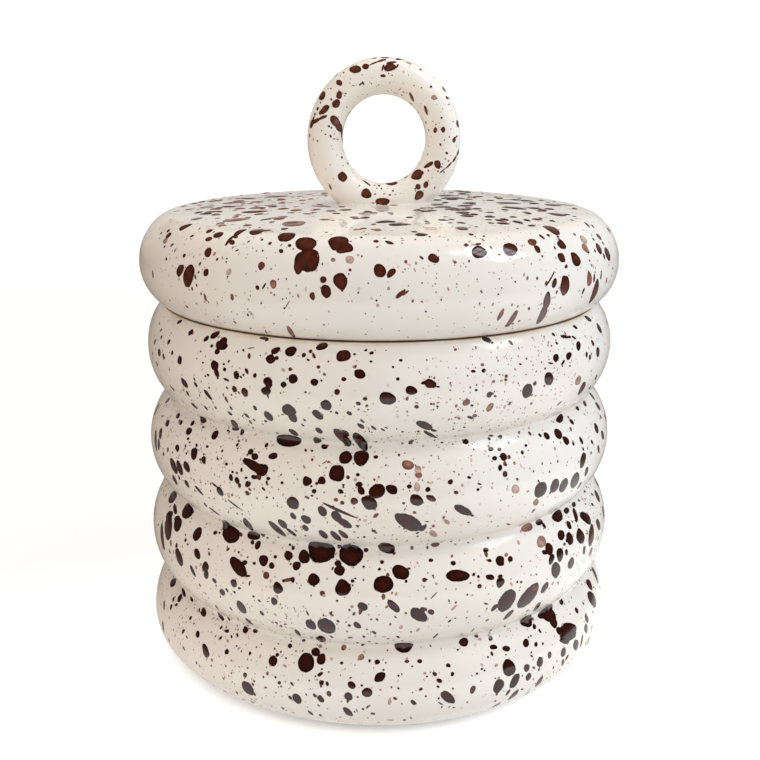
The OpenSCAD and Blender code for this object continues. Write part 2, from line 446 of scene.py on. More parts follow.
# %% Paper
PAPER_HALF, PAPER_CELLS = 5.0, 120
BOWL_START, BOWL_END, BOWL_RISE = 2.6, 4.2, 1.2
across = np.linspace(-PAPER_HALF, PAPER_HALF, PAPER_CELLS + 1)
paper_x, paper_y = np.meshgrid(across, across)
paper_z = BOWL_RISE * smooth(np.hypot(paper_x, paper_y), BOWL_START, BOWL_END)
paper_points = np.stack([paper_x, paper_y, paper_z], axis=-1).reshape(-1, 3)
corner = (np.arange(PAPER_CELLS)[:, None] * (PAPER_CELLS + 1) + np.arange(PAPER_CELLS)).ravel()
row_on = PAPER_CELLS + 1
paper_faces = np.column_stack([corner, corner + 1, corner + row_on + 1, corner + row_on])
paper_mesh = bpy.data.meshes.new("paper_sweep")
paper_mesh.from_pydata(paper_points, [], paper_faces.tolist())
paper_mesh.polygons.foreach_set("use_smooth", np.ones(len(paper_faces), dtype=bool))
paper = bpy.data.objects.new("paper_sweep", paper_mesh)
bpy.context.scene.collection.objects.link(paper)
print(f"paper bowl {2 * PAPER_HALF:.0f} m wide, {len(paper_faces)} faces")

# %% [markdown]
# A material is a network of nodes. It can be drawn by hand in the shader editor, but a few short helpers that
# make a node, join sockets, map a range and mix colours let each finish below read like a recipe.

# %% Node helpers
def node(tree, kind, **settings):
    """A new node with its settings, such as operation or data_type."""
    made = tree.nodes.new(kind)
    for name, value in settings.items():
        setattr(made, name, value)
    return made


def socket_links(tree, *pairs):
    """Join output sockets to input sockets, pair by pair."""
    for output, entry in pairs:
        tree.links.new(output, entry)


def ranged(tree, value, low, high, to_low=0.0, to_high=1.0):
    """A clamped smooth map of a value from one range to another."""
    made = node(tree, "ShaderNodeMapRange", interpolation_type="SMOOTHSTEP")
    tree.links.new(value, made.inputs["Value"])
    for entry, number in zip(made.inputs[1:5], (low, high, to_low, to_high)):
        entry.default_value = number
    return made.outputs[0]


def feed(tree, entry, value):
    """Give an input a socket's output or a plain value."""
    if isinstance(value, bpy.types.NodeSocket):
        tree.links.new(value, entry)
    else:
        entry.default_value = value


def combined(tree, first, second, operation="ADD"):
    """A math node on two sockets or values."""
    made = node(tree, "ShaderNodeMath", operation=operation)
    feed(tree, made.inputs[0], first)
    feed(tree, made.inputs[1], second)
    return made.outputs[0]


def mixed(tree, share, first, second):
    """A colour mix node: share, first and second are sockets or values."""
    made = node(tree, "ShaderNodeMix", data_type="RGBA")
    for entry, value in ((made.inputs["Factor"], share), (made.inputs[6], first), (made.inputs[7], second)):
        feed(tree, entry, value)
    return made.outputs[2]


print(f"{len(bpy.data.materials)} materials so far")

# %% [markdown]
# In the photograph the glaze mirrors a white patch of table in front and to the right, and a dim brown room
# beyond it. So for the light and the glaze the paper is white in an oval patch and brown further off, with a
# paler backdrop far behind. For the camera a glow makes up what is missing to white. It fades out at the
# foot, so the jar's shadow stays there. From below the sheet is clear, and it has a hole under the foot ring,
# so that the underside shows.

# %% Distances on the paper
PATCH_AT, PATCH_HALF = (0.21, -0.29, 0.0), (0.54, 0.345, 1.0)
FOOT_AT = (-0.002, 0.0, 0.0)
paper_material = bpy.data.materials.new("white_paper")
paper_material.use_nodes = True
tree = paper_material.node_tree
tree.nodes.clear()
place = node(tree, "ShaderNodeTexCoord").outputs["Object"]
away = node(tree, "ShaderNodeVectorMath", operation="DISTANCE")
away.inputs[1].default_value = FOOT_AT
from_patch = node(tree, "ShaderNodeVectorMath", operation="SUBTRACT")
from_patch.inputs[1].default_value = PATCH_AT
in_halves = node(tree, "ShaderNodeVectorMath", operation="DIVIDE")
in_halves.inputs[1].default_value = PATCH_HALF
aside = node(tree, "ShaderNodeVectorMath", operation="LENGTH")
from_axis = node(tree, "ShaderNodeVectorMath", operation="LENGTH")
socket_links(
    tree,
    (place, away.inputs[0]),
    (place, from_axis.inputs[0]),
    (place, from_patch.inputs[0]),
    (from_patch.outputs[0], in_halves.inputs[0]),
    (in_halves.outputs[0], aside.inputs[0]),
)
print(f"paper: white patch {2 * PATCH_HALF[0]:.2f} m wide")

# %% Colour and glow of the paper
PAPER_WHITE = (0.84, 0.83, 0.81, 1)
PAPER_DIM = (0.20, 0.175, 0.15, 1)
PATCH_IN, PATCH_OUT = 0.75, 1.25
GLOW_FOOT, GLOW_ROUND = 0.05, 0.82
FOOT_IN, FOOT_OUT = 0.079, 0.102
GLOW_FAR = 0.18
FAR_IN, FAR_OUT = 0.5, 2.2
MIRRORED_PATCH, MIRRORED_ROUND = 0.47, 0.04
BACKDROP_IN, BACKDROP_OUT, BACKDROP_GLOW = 1.6, 2.8, 0.44
paper_sum = node(tree, "ShaderNodeAddShader")
paper_diffuse = node(tree, "ShaderNodeBsdfDiffuse")
paper_glow = node(tree, "ShaderNodeEmission")
path = node(tree, "ShaderNodeLightPath").outputs
dim = ranged(tree, aside.outputs["Value"], PATCH_IN, PATCH_OUT)
near = ranged(tree, away.outputs["Value"], FOOT_IN, FOOT_OUT, GLOW_FOOT, GLOW_ROUND)
glow = combined(tree, near, ranged(tree, away.outputs["Value"], FAR_IN, FAR_OUT, 0.0, GLOW_FAR))
seen = combined(tree, path["Is Camera Ray"], path["Is Transmission Ray"], "MAXIMUM")
seen = combined(tree, seen, glow, "MULTIPLY")
mirrored = ranged(tree, aside.outputs["Value"], PATCH_IN, PATCH_OUT, MIRRORED_PATCH, MIRRORED_ROUND)
behind = node(tree, "ShaderNodeSeparateXYZ")
tree.links.new(place, behind.inputs[0])
backdrop = ranged(tree, behind.outputs["Y"], BACKDROP_IN, BACKDROP_OUT, 0.0, BACKDROP_GLOW)
mirrored = combined(tree, mirrored, backdrop, "MAXIMUM")
mirrored = combined(tree, path["Is Glossy Ray"], mirrored, "MULTIPLY")
socket_links(
    tree,
    (mixed(tree, dim, PAPER_WHITE, PAPER_DIM), paper_diffuse.inputs["Color"]),
    (combined(tree, seen, mirrored, "MAXIMUM"), paper_glow.inputs["Strength"]),
    (paper_diffuse.outputs[0], paper_sum.inputs[0]),
    (paper_glow.outputs[0], paper_sum.inputs[1]),
)
print(f"paper: {len(tree.nodes)} nodes with its glow")

# %% The paper seen from below
HOLE_IN, HOLE_OUT = foot_r - 0.6 * MM, foot_r - 0.4 * MM
paper_out = node(tree, "ShaderNodeOutputMaterial")
hole = ranged(tree, from_axis.outputs["Value"], HOLE_IN, HOLE_OUT, 1.0, 0.0)
clear = combined(tree, node(tree, "ShaderNodeNewGeometry").outputs["Backfacing"], hole, "MAXIMUM")
paper_or_clear = node(tree, "ShaderNodeMixShader")
socket_links(
    tree,
    (clear, paper_or_clear.inputs["Fac"]),
    (paper_sum.outputs[0], paper_or_clear.inputs[1]),
    (node(tree, "ShaderNodeBsdfTransparent").outputs[0], paper_or_clear.inputs[2]),
    (paper_or_clear.outputs[0], paper_out.inputs["Surface"]),
)
paper_mesh.materials.append(paper_material)
print(f"paper material of {len(tree.nodes)} nodes")

# %% [markdown]
# The world is a dim room, brighter behind to the right and below, and plain white where the camera looks past
# the paper. A window up to the right leaves a small highlight on each bulge. The rest is soft light from all
# round, as in a light tent, cooler on the window's side and warmer on the other. The tent's lamps are hidden
# from mirror rays, because in the photograph the dark drops mirror only the window and a dim room.

# %% Room
ROOM_COLOUR = (1.0, 0.89, 0.76, 1)
ROOM_LEVEL, WINDOW_SIDE_LEVEL = 0.10, 0.46
WINDOW_WAY = (0.5, 0.866, 0.0)
SIDE_IN, SIDE_OUT = 0.7, 1.0
BELOW_FULL, BELOW_LEVEL = -0.3, 0.8
WHITE = (1, 1, 1, 1)
world = bpy.data.worlds.new("dim_room")
world.use_nodes = True
tree = world.node_tree
room = tree.nodes["Background"]
room.inputs["Color"].default_value = ROOM_COLOUR
way = node(tree, "ShaderNodeTexCoord").outputs["Generated"]
toward = node(tree, "ShaderNodeSeparateXYZ")
to_window = node(tree, "ShaderNodeVectorMath", operation="DOT_PRODUCT")
to_window.inputs[1].default_value = WINDOW_WAY
socket_links(tree, (way, toward.inputs[0]), (way, to_window.inputs[0]))
level = ranged(tree, to_window.outputs["Value"], SIDE_IN, SIDE_OUT, ROOM_LEVEL, WINDOW_SIDE_LEVEL)
below = ranged(tree, toward.outputs["Z"], BELOW_FULL, 0.0, BELOW_LEVEL, 0.0)
tree.links.new(combined(tree, level, below, "MAXIMUM"), room.inputs["Strength"])
white = node(tree, "ShaderNodeBackground")
white.inputs["Color"].default_value = WHITE
either = node(tree, "ShaderNodeMixShader")
socket_links(
    tree,
    (node(tree, "ShaderNodeLightPath").outputs["Is Camera Ray"], either.inputs["Fac"]),
    (room.outputs[0], either.inputs[1]),
    (white.outputs[0], either.inputs[2]),
    (either.outputs[0], tree.nodes["World Output"].inputs["Surface"]),
)
bpy.context.scene.world = world
bpy.context.scene.view_settings.view_transform = "Standard"
print(f"{world.name}: {len(tree.nodes)} nodes")

# %% Lamps
JAR_MIDDLE = Vector((0, 0, 0.12))
PANE, PANE_APART = 0.2, 0.115
PANE_COLUMNS, PANE_ROWS = (-1, 1), (-1, 1, 3)
# Bearing and rise in degrees, distance and size in metres, power in watts and colour of each lamp.
WINDOW_PANE = (75, 48, 1.4, (PANE, PANE), 0.74, (0.81, 0.905, 1.0))
LAMPS = {
    "right_side": (88, 20, 1.7, (1.2, 1.0), 19.4, (0.73, 0.84, 0.99)),
    "front_right": (40, 25, 1.7, (1.2, 1.0), 5.0, (1.0, 0.945, 0.92)),
    "front_top": (0, 58, 1.5, (1.4, 1.0), 4.9, (1.0, 0.92, 0.95)),
    "front_fill": (-5, 14, 1.7, (1.6, 0.9), 3.3, (0.60, 0.82, 1.0)),
    "front_left": (-45, 20, 1.7, (1.2, 1.0), 8.7, (1.0, 0.985, 0.965)),
    "left_fill": (-80, 18, 1.7, (1.2, 1.0), 4.4, (1.0, 0.63, 0.39)),
    "back_top": (180, 62, 1.5, (1.4, 1.0), 13.8, (1.0, 0.975, 0.92)),
    "back_fill": (180, 24, 1.8, (1.4, 1.0), 7.0, (1.0, 0.97, 0.93)),
}


def soft_light(name, bearing, rise, distance, size, power, colour, shift=(0, 0), mirrored=False):
    """A rectangular light that faces the jar's middle, at a bearing to the right of the camera."""
    data = bpy.data.lights.new(name, "AREA")
    data.shape = "RECTANGLE"
    data.size, data.size_y = size
    data.energy = power
    data.color = colour
    light = bpy.data.objects.new(name, data)
    side, up = np.radians(bearing), np.radians(rise)
    away = Vector((np.sin(side) * np.cos(up), -np.cos(side) * np.cos(up), np.sin(up)))
    facing = away.to_track_quat("Z", "Y")
    light.location = JAR_MIDDLE + distance * away + facing @ Vector((*shift, 0))
    light.rotation_euler = facing.to_euler()
    light.visible_glossy = mirrored
    light.visible_camera = False
    bpy.context.scene.collection.objects.link(light)


for column in PANE_COLUMNS:
    for row in PANE_ROWS:
        shift = (column * PANE_APART, row * PANE_APART)
        soft_light(f"window_{column}_{row}", *WINDOW_PANE, shift, mirrored=True)
for name, lamp in LAMPS.items():
    soft_light(name, *lamp)
print(f"{len(bpy.data.lights)} lights")

# %% [markdown]
# ## Glaze effects that the finishes share
# Fired glaze is never quite flat: it has a slow ripple, a fine orange-peel grain and a few pinholes, and iron
# in the clay comes through as pale brown specks. More than one finish uses these, so each is a node group.

# %% Effect groups
def effect_group(name, entries, results):
    """A shader node group with named float inputs (name: default) and named outputs (name: socket kind)."""
    group = bpy.data.node_groups.new(name, "ShaderNodeTree")
    group.interface.new_socket("Place", in_out="INPUT", socket_type="NodeSocketVector")
    for entry, default in entries.items():
        made = group.interface.new_socket(entry, in_out="INPUT", socket_type="NodeSocketFloat")
        made.default_value = default
    for result, kind in results.items():
        group.interface.new_socket(result, in_out="OUTPUT", socket_type=kind)
    return group, group.nodes.new("NodeGroupInput"), group.nodes.new("NodeGroupOutput")


def noise(tree, place, scale, detail=2.0):
    """A noise node's value, by Object coordinates in metres."""
    made = node(tree, "ShaderNodeTexNoise")
    made.inputs["Scale"].default_value = scale
    made.inputs["Detail"].default_value = detail
    tree.links.new(place, made.inputs["Vector"])
    return made.outputs["Fac"]


# %% Ripple and pinholes of fired glaze
SLOW_SCALE, PEEL_SCALE, PINHOLE_SCALE, SMEAR_SCALE = 70.0, 900.0, 160.0, 38.0
PEEL_SHARE = 0.08
PINHOLE_REACH, PINHOLE_DEPTH = 0.07, -0.7
GLOSSIEST, DULLEST = 0.07, 0.14
ripple, ripple_in, ripple_out = effect_group(
    "glaze_ripple", {"Depth": 1.0}, {"Height": "NodeSocketFloat", "Roughness": "NodeSocketFloat"}
)
slow = noise(ripple, ripple_in.outputs["Place"], SLOW_SCALE, 1.0)
peel = noise(ripple, ripple_in.outputs["Place"], PEEL_SCALE, 2.0)
pin = node(ripple, "ShaderNodeTexVoronoi")
pin.inputs["Scale"].default_value = PINHOLE_SCALE
ripple.links.new(ripple_in.outputs["Place"], pin.inputs["Vector"])
pin_depth = ranged(ripple, pin.outputs["Distance"], 0.0, PINHOLE_REACH, PINHOLE_DEPTH, 0.0)
waves = combined(ripple, slow, combined(ripple, peel, PEEL_SHARE, "MULTIPLY"))
height = combined(ripple, combined(ripple, waves, pin_depth), ripple_in.outputs["Depth"], "MULTIPLY")
smear = noise(ripple, ripple_in.outputs["Place"], SMEAR_SCALE, 3.0)
ripple.links.new(height, ripple_out.inputs["Height"])
ripple.links.new(ranged(ripple, smear, 0.3, 0.7, GLOSSIEST, DULLEST), ripple_out.inputs["Roughness"])
print(f"{ripple.name}: {len(ripple.nodes)} nodes")

# %% Iron specks in the clay
SPECK_IN, SPECK_OUT = 0.1, 0.26
RARE_FROM = 0.82
specks, specks_in, specks_out = effect_group("iron_specks", {"Scale": 420.0}, {"Mask": "NodeSocketFloat"})
cells = node(specks, "ShaderNodeTexVoronoi")
socket_links(
    specks,
    (specks_in.outputs["Place"], cells.inputs["Vector"]),
    (specks_in.outputs["Scale"], cells.inputs["Scale"]),
)
chosen = node(specks, "ShaderNodeSeparateColor")
specks.links.new(cells.outputs["Color"], chosen.inputs["Color"])
dot = ranged(specks, cells.outputs["Distance"], SPECK_IN, SPECK_OUT, 1.0, 0.0)
rare = ranged(specks, chosen.outputs["Red"], RARE_FROM, 1.0, 0.0, 1.0)
specks.links.new(combined(specks, dot, rare, "MULTIPLY"), specks_out.inputs["Mask"])
print(f"node groups: {[group.name for group in bpy.data.node_groups]}")

# %% [markdown]
# ## Cream glaze
# The glaze is an opaque cream with a glassy surface. It drifts a little between a whiter and a warmer tone,
# runs thin and tan over sharp edges and gathers in the creases, where the cream is also painted darker as
# shade. Where it is thin or deep depends on the outline's bend, so the mesh carries that as two attributes
# and the material mixes colours by them. The ring's coat is thicker, and its cream is painted whiter as light
# from a
# little above its foot: a third attribute says where.

# %% Where the glaze runs thin, and where it gathers and painted shade darkens it
# Side of the bend, 1 for convex, a softening reach, and the bends where a run starts and where it is full.
GLAZE_RUNS = {"thin": (1, 0.7 * MM, 150, 700), "gathered_and_shaded": (-1, 2.5 * MM, 40, 260)}
SHARPEST = 1500
THICK_LIT_REACH = 6 * MM


def walk(outline):
    """Distance along an outline at each of its points."""
    return np.concatenate([[0], np.cumsum(np.linalg.norm(np.diff(outline, axis=0), axis=1))])


def glaze_run(piece, outline, bearings):
    """Attributes thin and gathered: the outline's bend, softened along it, kept where convex or hollow."""
    run = walk(outline)
    tangent = np.gradient(outline, run, axis=0)
    turning = np.gradient(np.unwrap(np.arctan2(tangent[:, 1], tangent[:, 0])), run)
    for name, (side, reach, low, high) in GLAZE_RUNS.items():
        weight = np.exp(-(((run[:, None] - run[None, :]) / reach) ** 2) / 2)
        bend = (weight @ np.clip(side * turning, 0, SHARPEST)) / weight.sum(axis=1)
        amount = smooth(bend, low, high)
        values = np.concatenate([np.repeat(amount[1:-1], bearings), amount[[0, -1]]])
        piece.data.attributes.new(name, "FLOAT", "POINT").data.foreach_set("value", values.astype(np.float32))


def thick_lit_coat(piece, level, reach):
    """Attribute dipped: from 0 at a level to 1 at a reach above it."""
    points = np.empty(len(piece.data.vertices) * 3, dtype=np.float32)
    piece.data.vertices.foreach_get("co", points)
    amount = smooth(points[2::3], level, level + reach).astype(np.float32)
    piece.data.attributes.new("thick_and_lit", "FLOAT", "POINT").data.foreach_set("value", amount)
    print(f"{piece.name}: coat thicker by {amount.mean():.2f} on average")


glaze_run(pot_piece, pot_outline, BEARINGS)
glaze_run(lid_piece, lid_outline, BEARINGS)
# The ring's thicker coat, its cream painted whiter as light from a little above the crown upward.
thick_lit_coat(ring_piece, crown_z, THICK_LIT_REACH)

# %% Material helpers
def finish_material(name):
    """A new node material with its tree, its shader and its Object coordinates."""
    material = bpy.data.materials.new(name)
    material.use_nodes = True
    tree = material.node_tree
    place = node(tree, "ShaderNodeTexCoord").outputs["Object"]
    return material, tree, tree.nodes["Principled BSDF"], place


def use_group(tree, group, place, **entries):
    """A group node in a material, fed with a place and named inputs."""
    made = node(tree, "ShaderNodeGroup", node_tree=group)
    tree.links.new(place, made.inputs["Place"])
    for name, value in entries.items():
        made.inputs[name].default_value = value
    return made


def bumped(tree, height, shader, strength, distance):
    """Feed a height through a bump node to the shader's normal."""
    bump = node(tree, "ShaderNodeBump")
    bump.inputs["Strength"].default_value = strength
    bump.inputs["Distance"].default_value = distance
    socket_links(tree, (height, bump.inputs["Height"]), (bump.outputs["Normal"], shader.inputs["Normal"]))


print(f"{len(bpy.data.node_groups)} effect groups at hand")

# %% Cream glaze material
CREAM = (0.815, 0.765, 0.69, 1)
CREAM_WARM = (0.79, 0.725, 0.635, 1)
CREAM_THIN = (0.70, 0.585, 0.455, 1)
# Darker cream for the creases and hollows: glaze gathered there, plus painted shade.
CREAM_DEEP_SHADE = (0.76, 0.705, 0.63, 1)
# Whiter cream for the ring: a thicker coat, plus painted light.
CREAM_THICK_LIT = (0.88, 0.82, 0.73, 1)
IRON = (0.42, 0.27, 0.19, 1)
DRIFT_SCALE, WORN_SCALE = 16.0, 120.0
CREAM_SPECK_SCALE, CREAM_SPECK_SHARE = 300.0, 0.5
CREAM_BUMP = (0.25, 0.3 * MM)
cream, tree, shader, place = finish_material("cream_glaze")
drift = ranged(tree, noise(tree, place, DRIFT_SCALE, 3.0), 0.35, 0.7)
colour = mixed(tree, drift, CREAM, CREAM_WARM)
# Creases and hollows painted darker: glaze gathered there, plus painted shade.
gathered_and_shaded = node(tree, "ShaderNodeAttribute", attribute_name="gathered_and_shaded")
colour = mixed(tree, gathered_and_shaded.outputs["Fac"], colour, CREAM_DEEP_SHADE)
# Ring painted whiter from a little above its foot: thicker coat, plus painted light.
thick_and_lit = node(tree, "ShaderNodeAttribute", attribute_name="thick_and_lit")
colour = mixed(tree, thick_and_lit.outputs["Fac"], colour, CREAM_THICK_LIT)
speck = use_group(tree, specks, place, Scale=CREAM_SPECK_SCALE)
specked = combined(tree, speck.outputs["Mask"], CREAM_SPECK_SHARE, "MULTIPLY")
colour = mixed(tree, specked, colour, IRON)
thin = node(tree, "ShaderNodeAttribute", attribute_name="thin")
patchy = ranged(tree, noise(tree, place, WORN_SCALE), 0.25, 0.7)
worn = combined(tree, thin.outputs["Fac"], patchy, "MULTIPLY")
colour = mixed(tree, worn, colour, CREAM_THIN)
surface = use_group(tree, ripple, place, Depth=1.0)
socket_links(
    tree,
    (colour, shader.inputs["Base Color"]),
    (surface.outputs["Roughness"], shader.inputs["Roughness"]),
)
bumped(tree, surface.outputs["Height"], shader, *CREAM_BUMP)
for piece in (pot_piece, lid_piece, ring_piece):
    piece.data.materials.append(cream)
print(f"{cream.name}: {len(tree.nodes)} nodes")

# %% [markdown]
# ## Bare clay
# Glaze melts in the kiln and would weld the jar to the shelf, and the lid to the pot, so it is wiped off
# wherever they touch: under the foot, on the rim and round the lid's seat. Those are whole bands of the
# turned meshes, so the faces between two bare rows of an outline take a second material. Its clay is painted
# darker than bare clay, as shade, so that the open seam between lid and pot reads dark.

# %% Bare clay on the seats
# Bare clay painted darker than it is, as shade for the seam's gap; the darker tone also drifts at random.
SHADED_CLAY = (0.40, 0.285, 0.195, 1)
SHADED_CLAY_DARK = (0.27, 0.185, 0.125, 1)
CLAY_ROUGHNESS = 0.85
CLAY_DRIFT_SCALE, CLAY_SPECK_SCALE, CLAY_GRAIN_SCALE = 60.0, 700.0, 1400.0
CLAY_BUMP = (0.5, 0.15 * MM)
SEAT_REACH = 0.1 * MM


def bare_bands(piece, bearings, bare):
    """Second material on each band of faces between two outline rows that are both bare."""
    bands = bare[1:-2] & bare[2:-1]
    chosen = np.zeros(len(piece.data.polygons), dtype=np.int32)
    chosen[: len(bands) * bearings] = np.repeat(bands, bearings)
    piece.data.polygons.foreach_set("material_index", chosen)
    return chosen.sum()


clay, tree, shader, place = finish_material("bare_clay")
drift = ranged(tree, noise(tree, place, CLAY_DRIFT_SCALE, 3.0), 0.35, 0.7)
colour = mixed(tree, drift, SHADED_CLAY, SHADED_CLAY_DARK)
speck = use_group(tree, specks, place, Scale=CLAY_SPECK_SCALE)
tree.links.new(mixed(tree, speck.outputs["Mask"], colour, IRON), shader.inputs["Base Color"])
shader.inputs["Roughness"].default_value = CLAY_ROUGHNESS
bumped(tree, noise(tree, place, CLAY_GRAIN_SCALE, 3.0), shader, *CLAY_BUMP)
pot_bare = (pot_outline[:, 1] < SEAT_REACH) | (pot_outline[:, 1] > rim_z - SEAT_REACH)
lid_bare = (lid_outline[:, 1] < rim_z + SEAM_GAP + SEAT_REACH) & (lid_outline[:, 0] > collar_r - SEAT_REACH)
bare_faces = 0
for piece, bare in ((pot_piece, pot_bare), (lid_piece, lid_bare)):
    piece.data.materials.append(clay)
    bare_faces += bare_bands(piece, BEARINGS, bare)
print(f"{bare_faces} faces of bare clay")

# %% [markdown]
# ## Splatter
# The dark glaze was flicked on wet: round and oval drops, drawn-out flicks and a mist of fine specks, each a
# thin cushion of glaze that is deepest along its edge. It could be painted by a shader, but each drop is made
# as a small closed lens laid on the surface, so it catches the light as real glaze does. Its colour is worked
# out per point from the glaze's depth, as light fades through coloured glass. Drops ran flat on the walls and
# stand prouder on the level crown.

# %% Surfaces for the drops to lie on
def turned_patch(outline, shape):
    """Surface function for a turned form: a bearing and a run along its outline give a point, raised by a
    lift along the normal."""
    run_at = walk(outline)
    slope = np.gradient(outline, run_at, axis=0)

    def patch(bearing, run, lift):
        tilt_r, tilt_z = np.interp(run, run_at, slope[:, 1]), -np.interp(run, run_at, slope[:, 0])
        size = np.hypot(tilt_r, tilt_z)
        radius = np.interp(run, run_at, outline[:, 0]) + lift * tilt_r / size
        height = np.interp(run, run_at, outline[:, 1]) + lift * tilt_z / size
        return shape(radius, height, bearing)

    return patch


def turned_stretch(outline):
    """Metres per unit of bearing and of run at a place on a turned form: its radius there, and one."""

    def stretch(centre):
        radius = np.interp(centre[:, 1], walk(outline), outline[:, 0])
        return np.column_stack([radius, np.ones(len(centre))])

    return stretch


def ring_stretch(centre):
    """Metres per radian of loop and of turn at a place on the ring: its distance from the loop's centre, and
    the radius of its section."""
    return np.column_stack([loop_r + tube_r * np.cos(centre[:, 1]), np.full(len(centre), tube_r)])


pot_patch, pot_stretch = turned_patch(pot_outside, slumped_pot), turned_stretch(pot_outside)
lid_patch, lid_stretch = turned_patch(lid_outside, slumped_lid), turned_stretch(lid_outside)
print(f"outside: pot {walk(pot_outside)[-1] / MM:.0f} mm, lid {walk(lid_outside)[-1] / MM:.0f} mm along")

# %% Faces of a lens
DROP_GRIDS = {"fine": (2, 8), "round": (3, 16), "broad": (4, 28)}


def lens_faces(rings, segments):
    """Faces of one lens: a fan at the top, bands between rings, and a fan underneath."""
    column = np.arange(segments)
    onward = (column + 1) % segments
    under = 1 + rings * segments
    top = np.column_stack([0 * column, 1 + column, 1 + onward])
    row = 1 + np.arange(rings - 1)[:, None] * segments
    bands = np.stack([row + column, row + segments + column, row + segments + onward, row + onward], axis=-1)
    rim = 1 + (rings - 1) * segments
    bottom = np.column_stack([rim + onward, rim + column, np.full(segments, under)])
    return top, bands.reshape(-1, 4), bottom


for grid, steps in DROP_GRIDS.items():
    print(f"{grid} lens: {sum(map(len, lens_faces(*steps)))} faces")

# %% Lenses on a surface
DEPTH_TINT = np.array([3.3, 5.4, 6.2])
MIDDLE_DEPTH, EDGE_DEPTH = 0.95, 0.5
SINK, UNDER_SINKS = 0.014 * MM, 2.5
RING_SPACING = 0.8
EDGE_WAVES, FIRST_WAVE = np.array([0.034, 0.026, 0.02, 0.013]), 2
# A dome's height is a share of the drop's breadth, held between a lowest and a highest value.
WALL_DOME, LEVEL_DOME = (0.022, 0.045 * MM, 0.09 * MM), (0.09, 0.06 * MM, 0.36 * MM)


def lay_drops(grid, patch, centre, stretch, axes, taper, tone, rng, dome=WALL_DOME):
    """Points, faces and colours of many lenses at once. A lens is a unit disc with a wavy edge, narrowed at
    one end by its taper, carried by its two axes to offsets in metres and by the patch to the surface. Its
    dome is height * (1 - rho^3) less the sink of its edge, so it is widened until the dome meets the surface
    where its edge should show. Its colour is cream * exp(-tint * tone * (middle + edge * rho^4)), deepest
    along the edge, where a drop of glaze gathers as it dries."""
    rings, segments = DROP_GRIDS[grid]
    count = len(centre)
    turn = np.linspace(0, 2 * np.pi, segments, endpoint=False)
    each_wave = (count, len(EDGE_WAVES), 1)
    waves = FIRST_WAVE + np.arange(len(EDGE_WAVES))[None, :, None]
    swing = rng.normal(0, 1, each_wave) * EDGE_WAVES[None, :, None]
    phase = rng.uniform(0, 2 * np.pi, each_wave)
    edge = 1 + (swing * np.cos(waves * turn + phase)).sum(axis=1)
    rho = np.linspace(0, 1, rings + 1)[1:] ** RING_SPACING
    x = rho[:, None] * (edge * np.cos(turn))[:, None, :]
    y = rho[:, None] * (edge * np.sin(turn))[:, None, :] * (1 - taper[:, None, None] * x)
    zero = np.zeros((count, 1))
    x = np.hstack([zero, x.reshape(count, -1), zero])
    y = np.hstack([zero, y.reshape(count, -1), zero])
    spread = np.concatenate([[0], np.repeat(rho, segments), [0]])
    breadth = 2 * np.sqrt(np.abs(np.linalg.det(axes)))
    share, low, high = dome
    height = np.clip(share * breadth, low, high)
    widened = axes * ((1 - SINK / height) ** (-1 / 3))[:, None, None]
    offset = np.einsum("dij,djn->dni", widened, np.stack([x, y], axis=1))
    lift = height[:, None] * (1 - spread**3) - SINK
    lift[:, -1] = -UNDER_SINKS * SINK
    first = centre[:, :1] + offset[..., 0] / stretch[:, :1]
    second = centre[:, 1:] + offset[..., 1] / stretch[:, 1:]
    points = patch(first, second, lift).reshape(-1, 3)
    depth = tone[:, None] * (MIDDLE_DEPTH + EDGE_DEPTH * spread**4)
    colour = np.array(CREAM[:3]) * np.exp(-depth[..., None] * DEPTH_TINT)
    start = np.arange(count)[:, None, None] * len(spread)
    faces = [(part + start).reshape(-1, part.shape[1]) for part in lens_faces(rings, segments)]
    return points, faces, colour.reshape(-1, 3)


print(f"colour at depth 1: {np.round(CREAM[:3] * np.exp(-DEPTH_TINT), 3)}")


# %% Splatter pieces
def splatter_piece(name, body, batches):
    """One piece from batches of lenses, with their colours as a point attribute."""
    points = np.vstack([batch[0] for batch in batches])
    starts = np.cumsum([0] + [len(batch[0]) for batch in batches])
    faces = [(part + start).tolist() for start, batch in zip(starts, batches) for part in batch[1]]
    colours = np.vstack([batch[2] for batch in batches])
    piece = add_piece(name, points, sum(faces, []), body, "splatter_glaze")
    shades = np.column_stack([colours, np.ones(len(colours))]).astype(np.float32)
    piece.data.attributes.new("drop_colour", "FLOAT_COLOR", "POINT").data.foreach_set("color", shades.ravel())
    print(f"{name}: {len(piece.data.polygons)} faces")
    return piece


# %% [markdown]
# ## Drops that the photograph shows
# The larger drops were read off the photograph area by area: where each lies in the picture, how long
# and wide it is, how it leans and how deep its glaze looks. A line of sight through that place of the picture
# is followed to the surface of the jar, and the drop is laid there with the size and lean that give its oval
# in the picture. So it sits on the glaze from every side, not only from the camera's.

# %% Lines of sight
NEAREST, FARTHEST, STRIDE = 0.2, 0.62, 1 * MM
HALVINGS = 10


def sight_lines(px, py):
    """Direction of the line of sight through a pixel: forward + right * x / focal - up * y / focal."""
    sine, cosine = np.sin(CAMERA_TILT), np.cos(CAMERA_TILT)
    x, y = (px - FRAME_PX / 2) / FOCAL_PX, (py - FRAME_PX / 2) / FOCAL_PX
    return np.stack([x, cosine - y * sine, -sine - y * cosine], axis=-1)


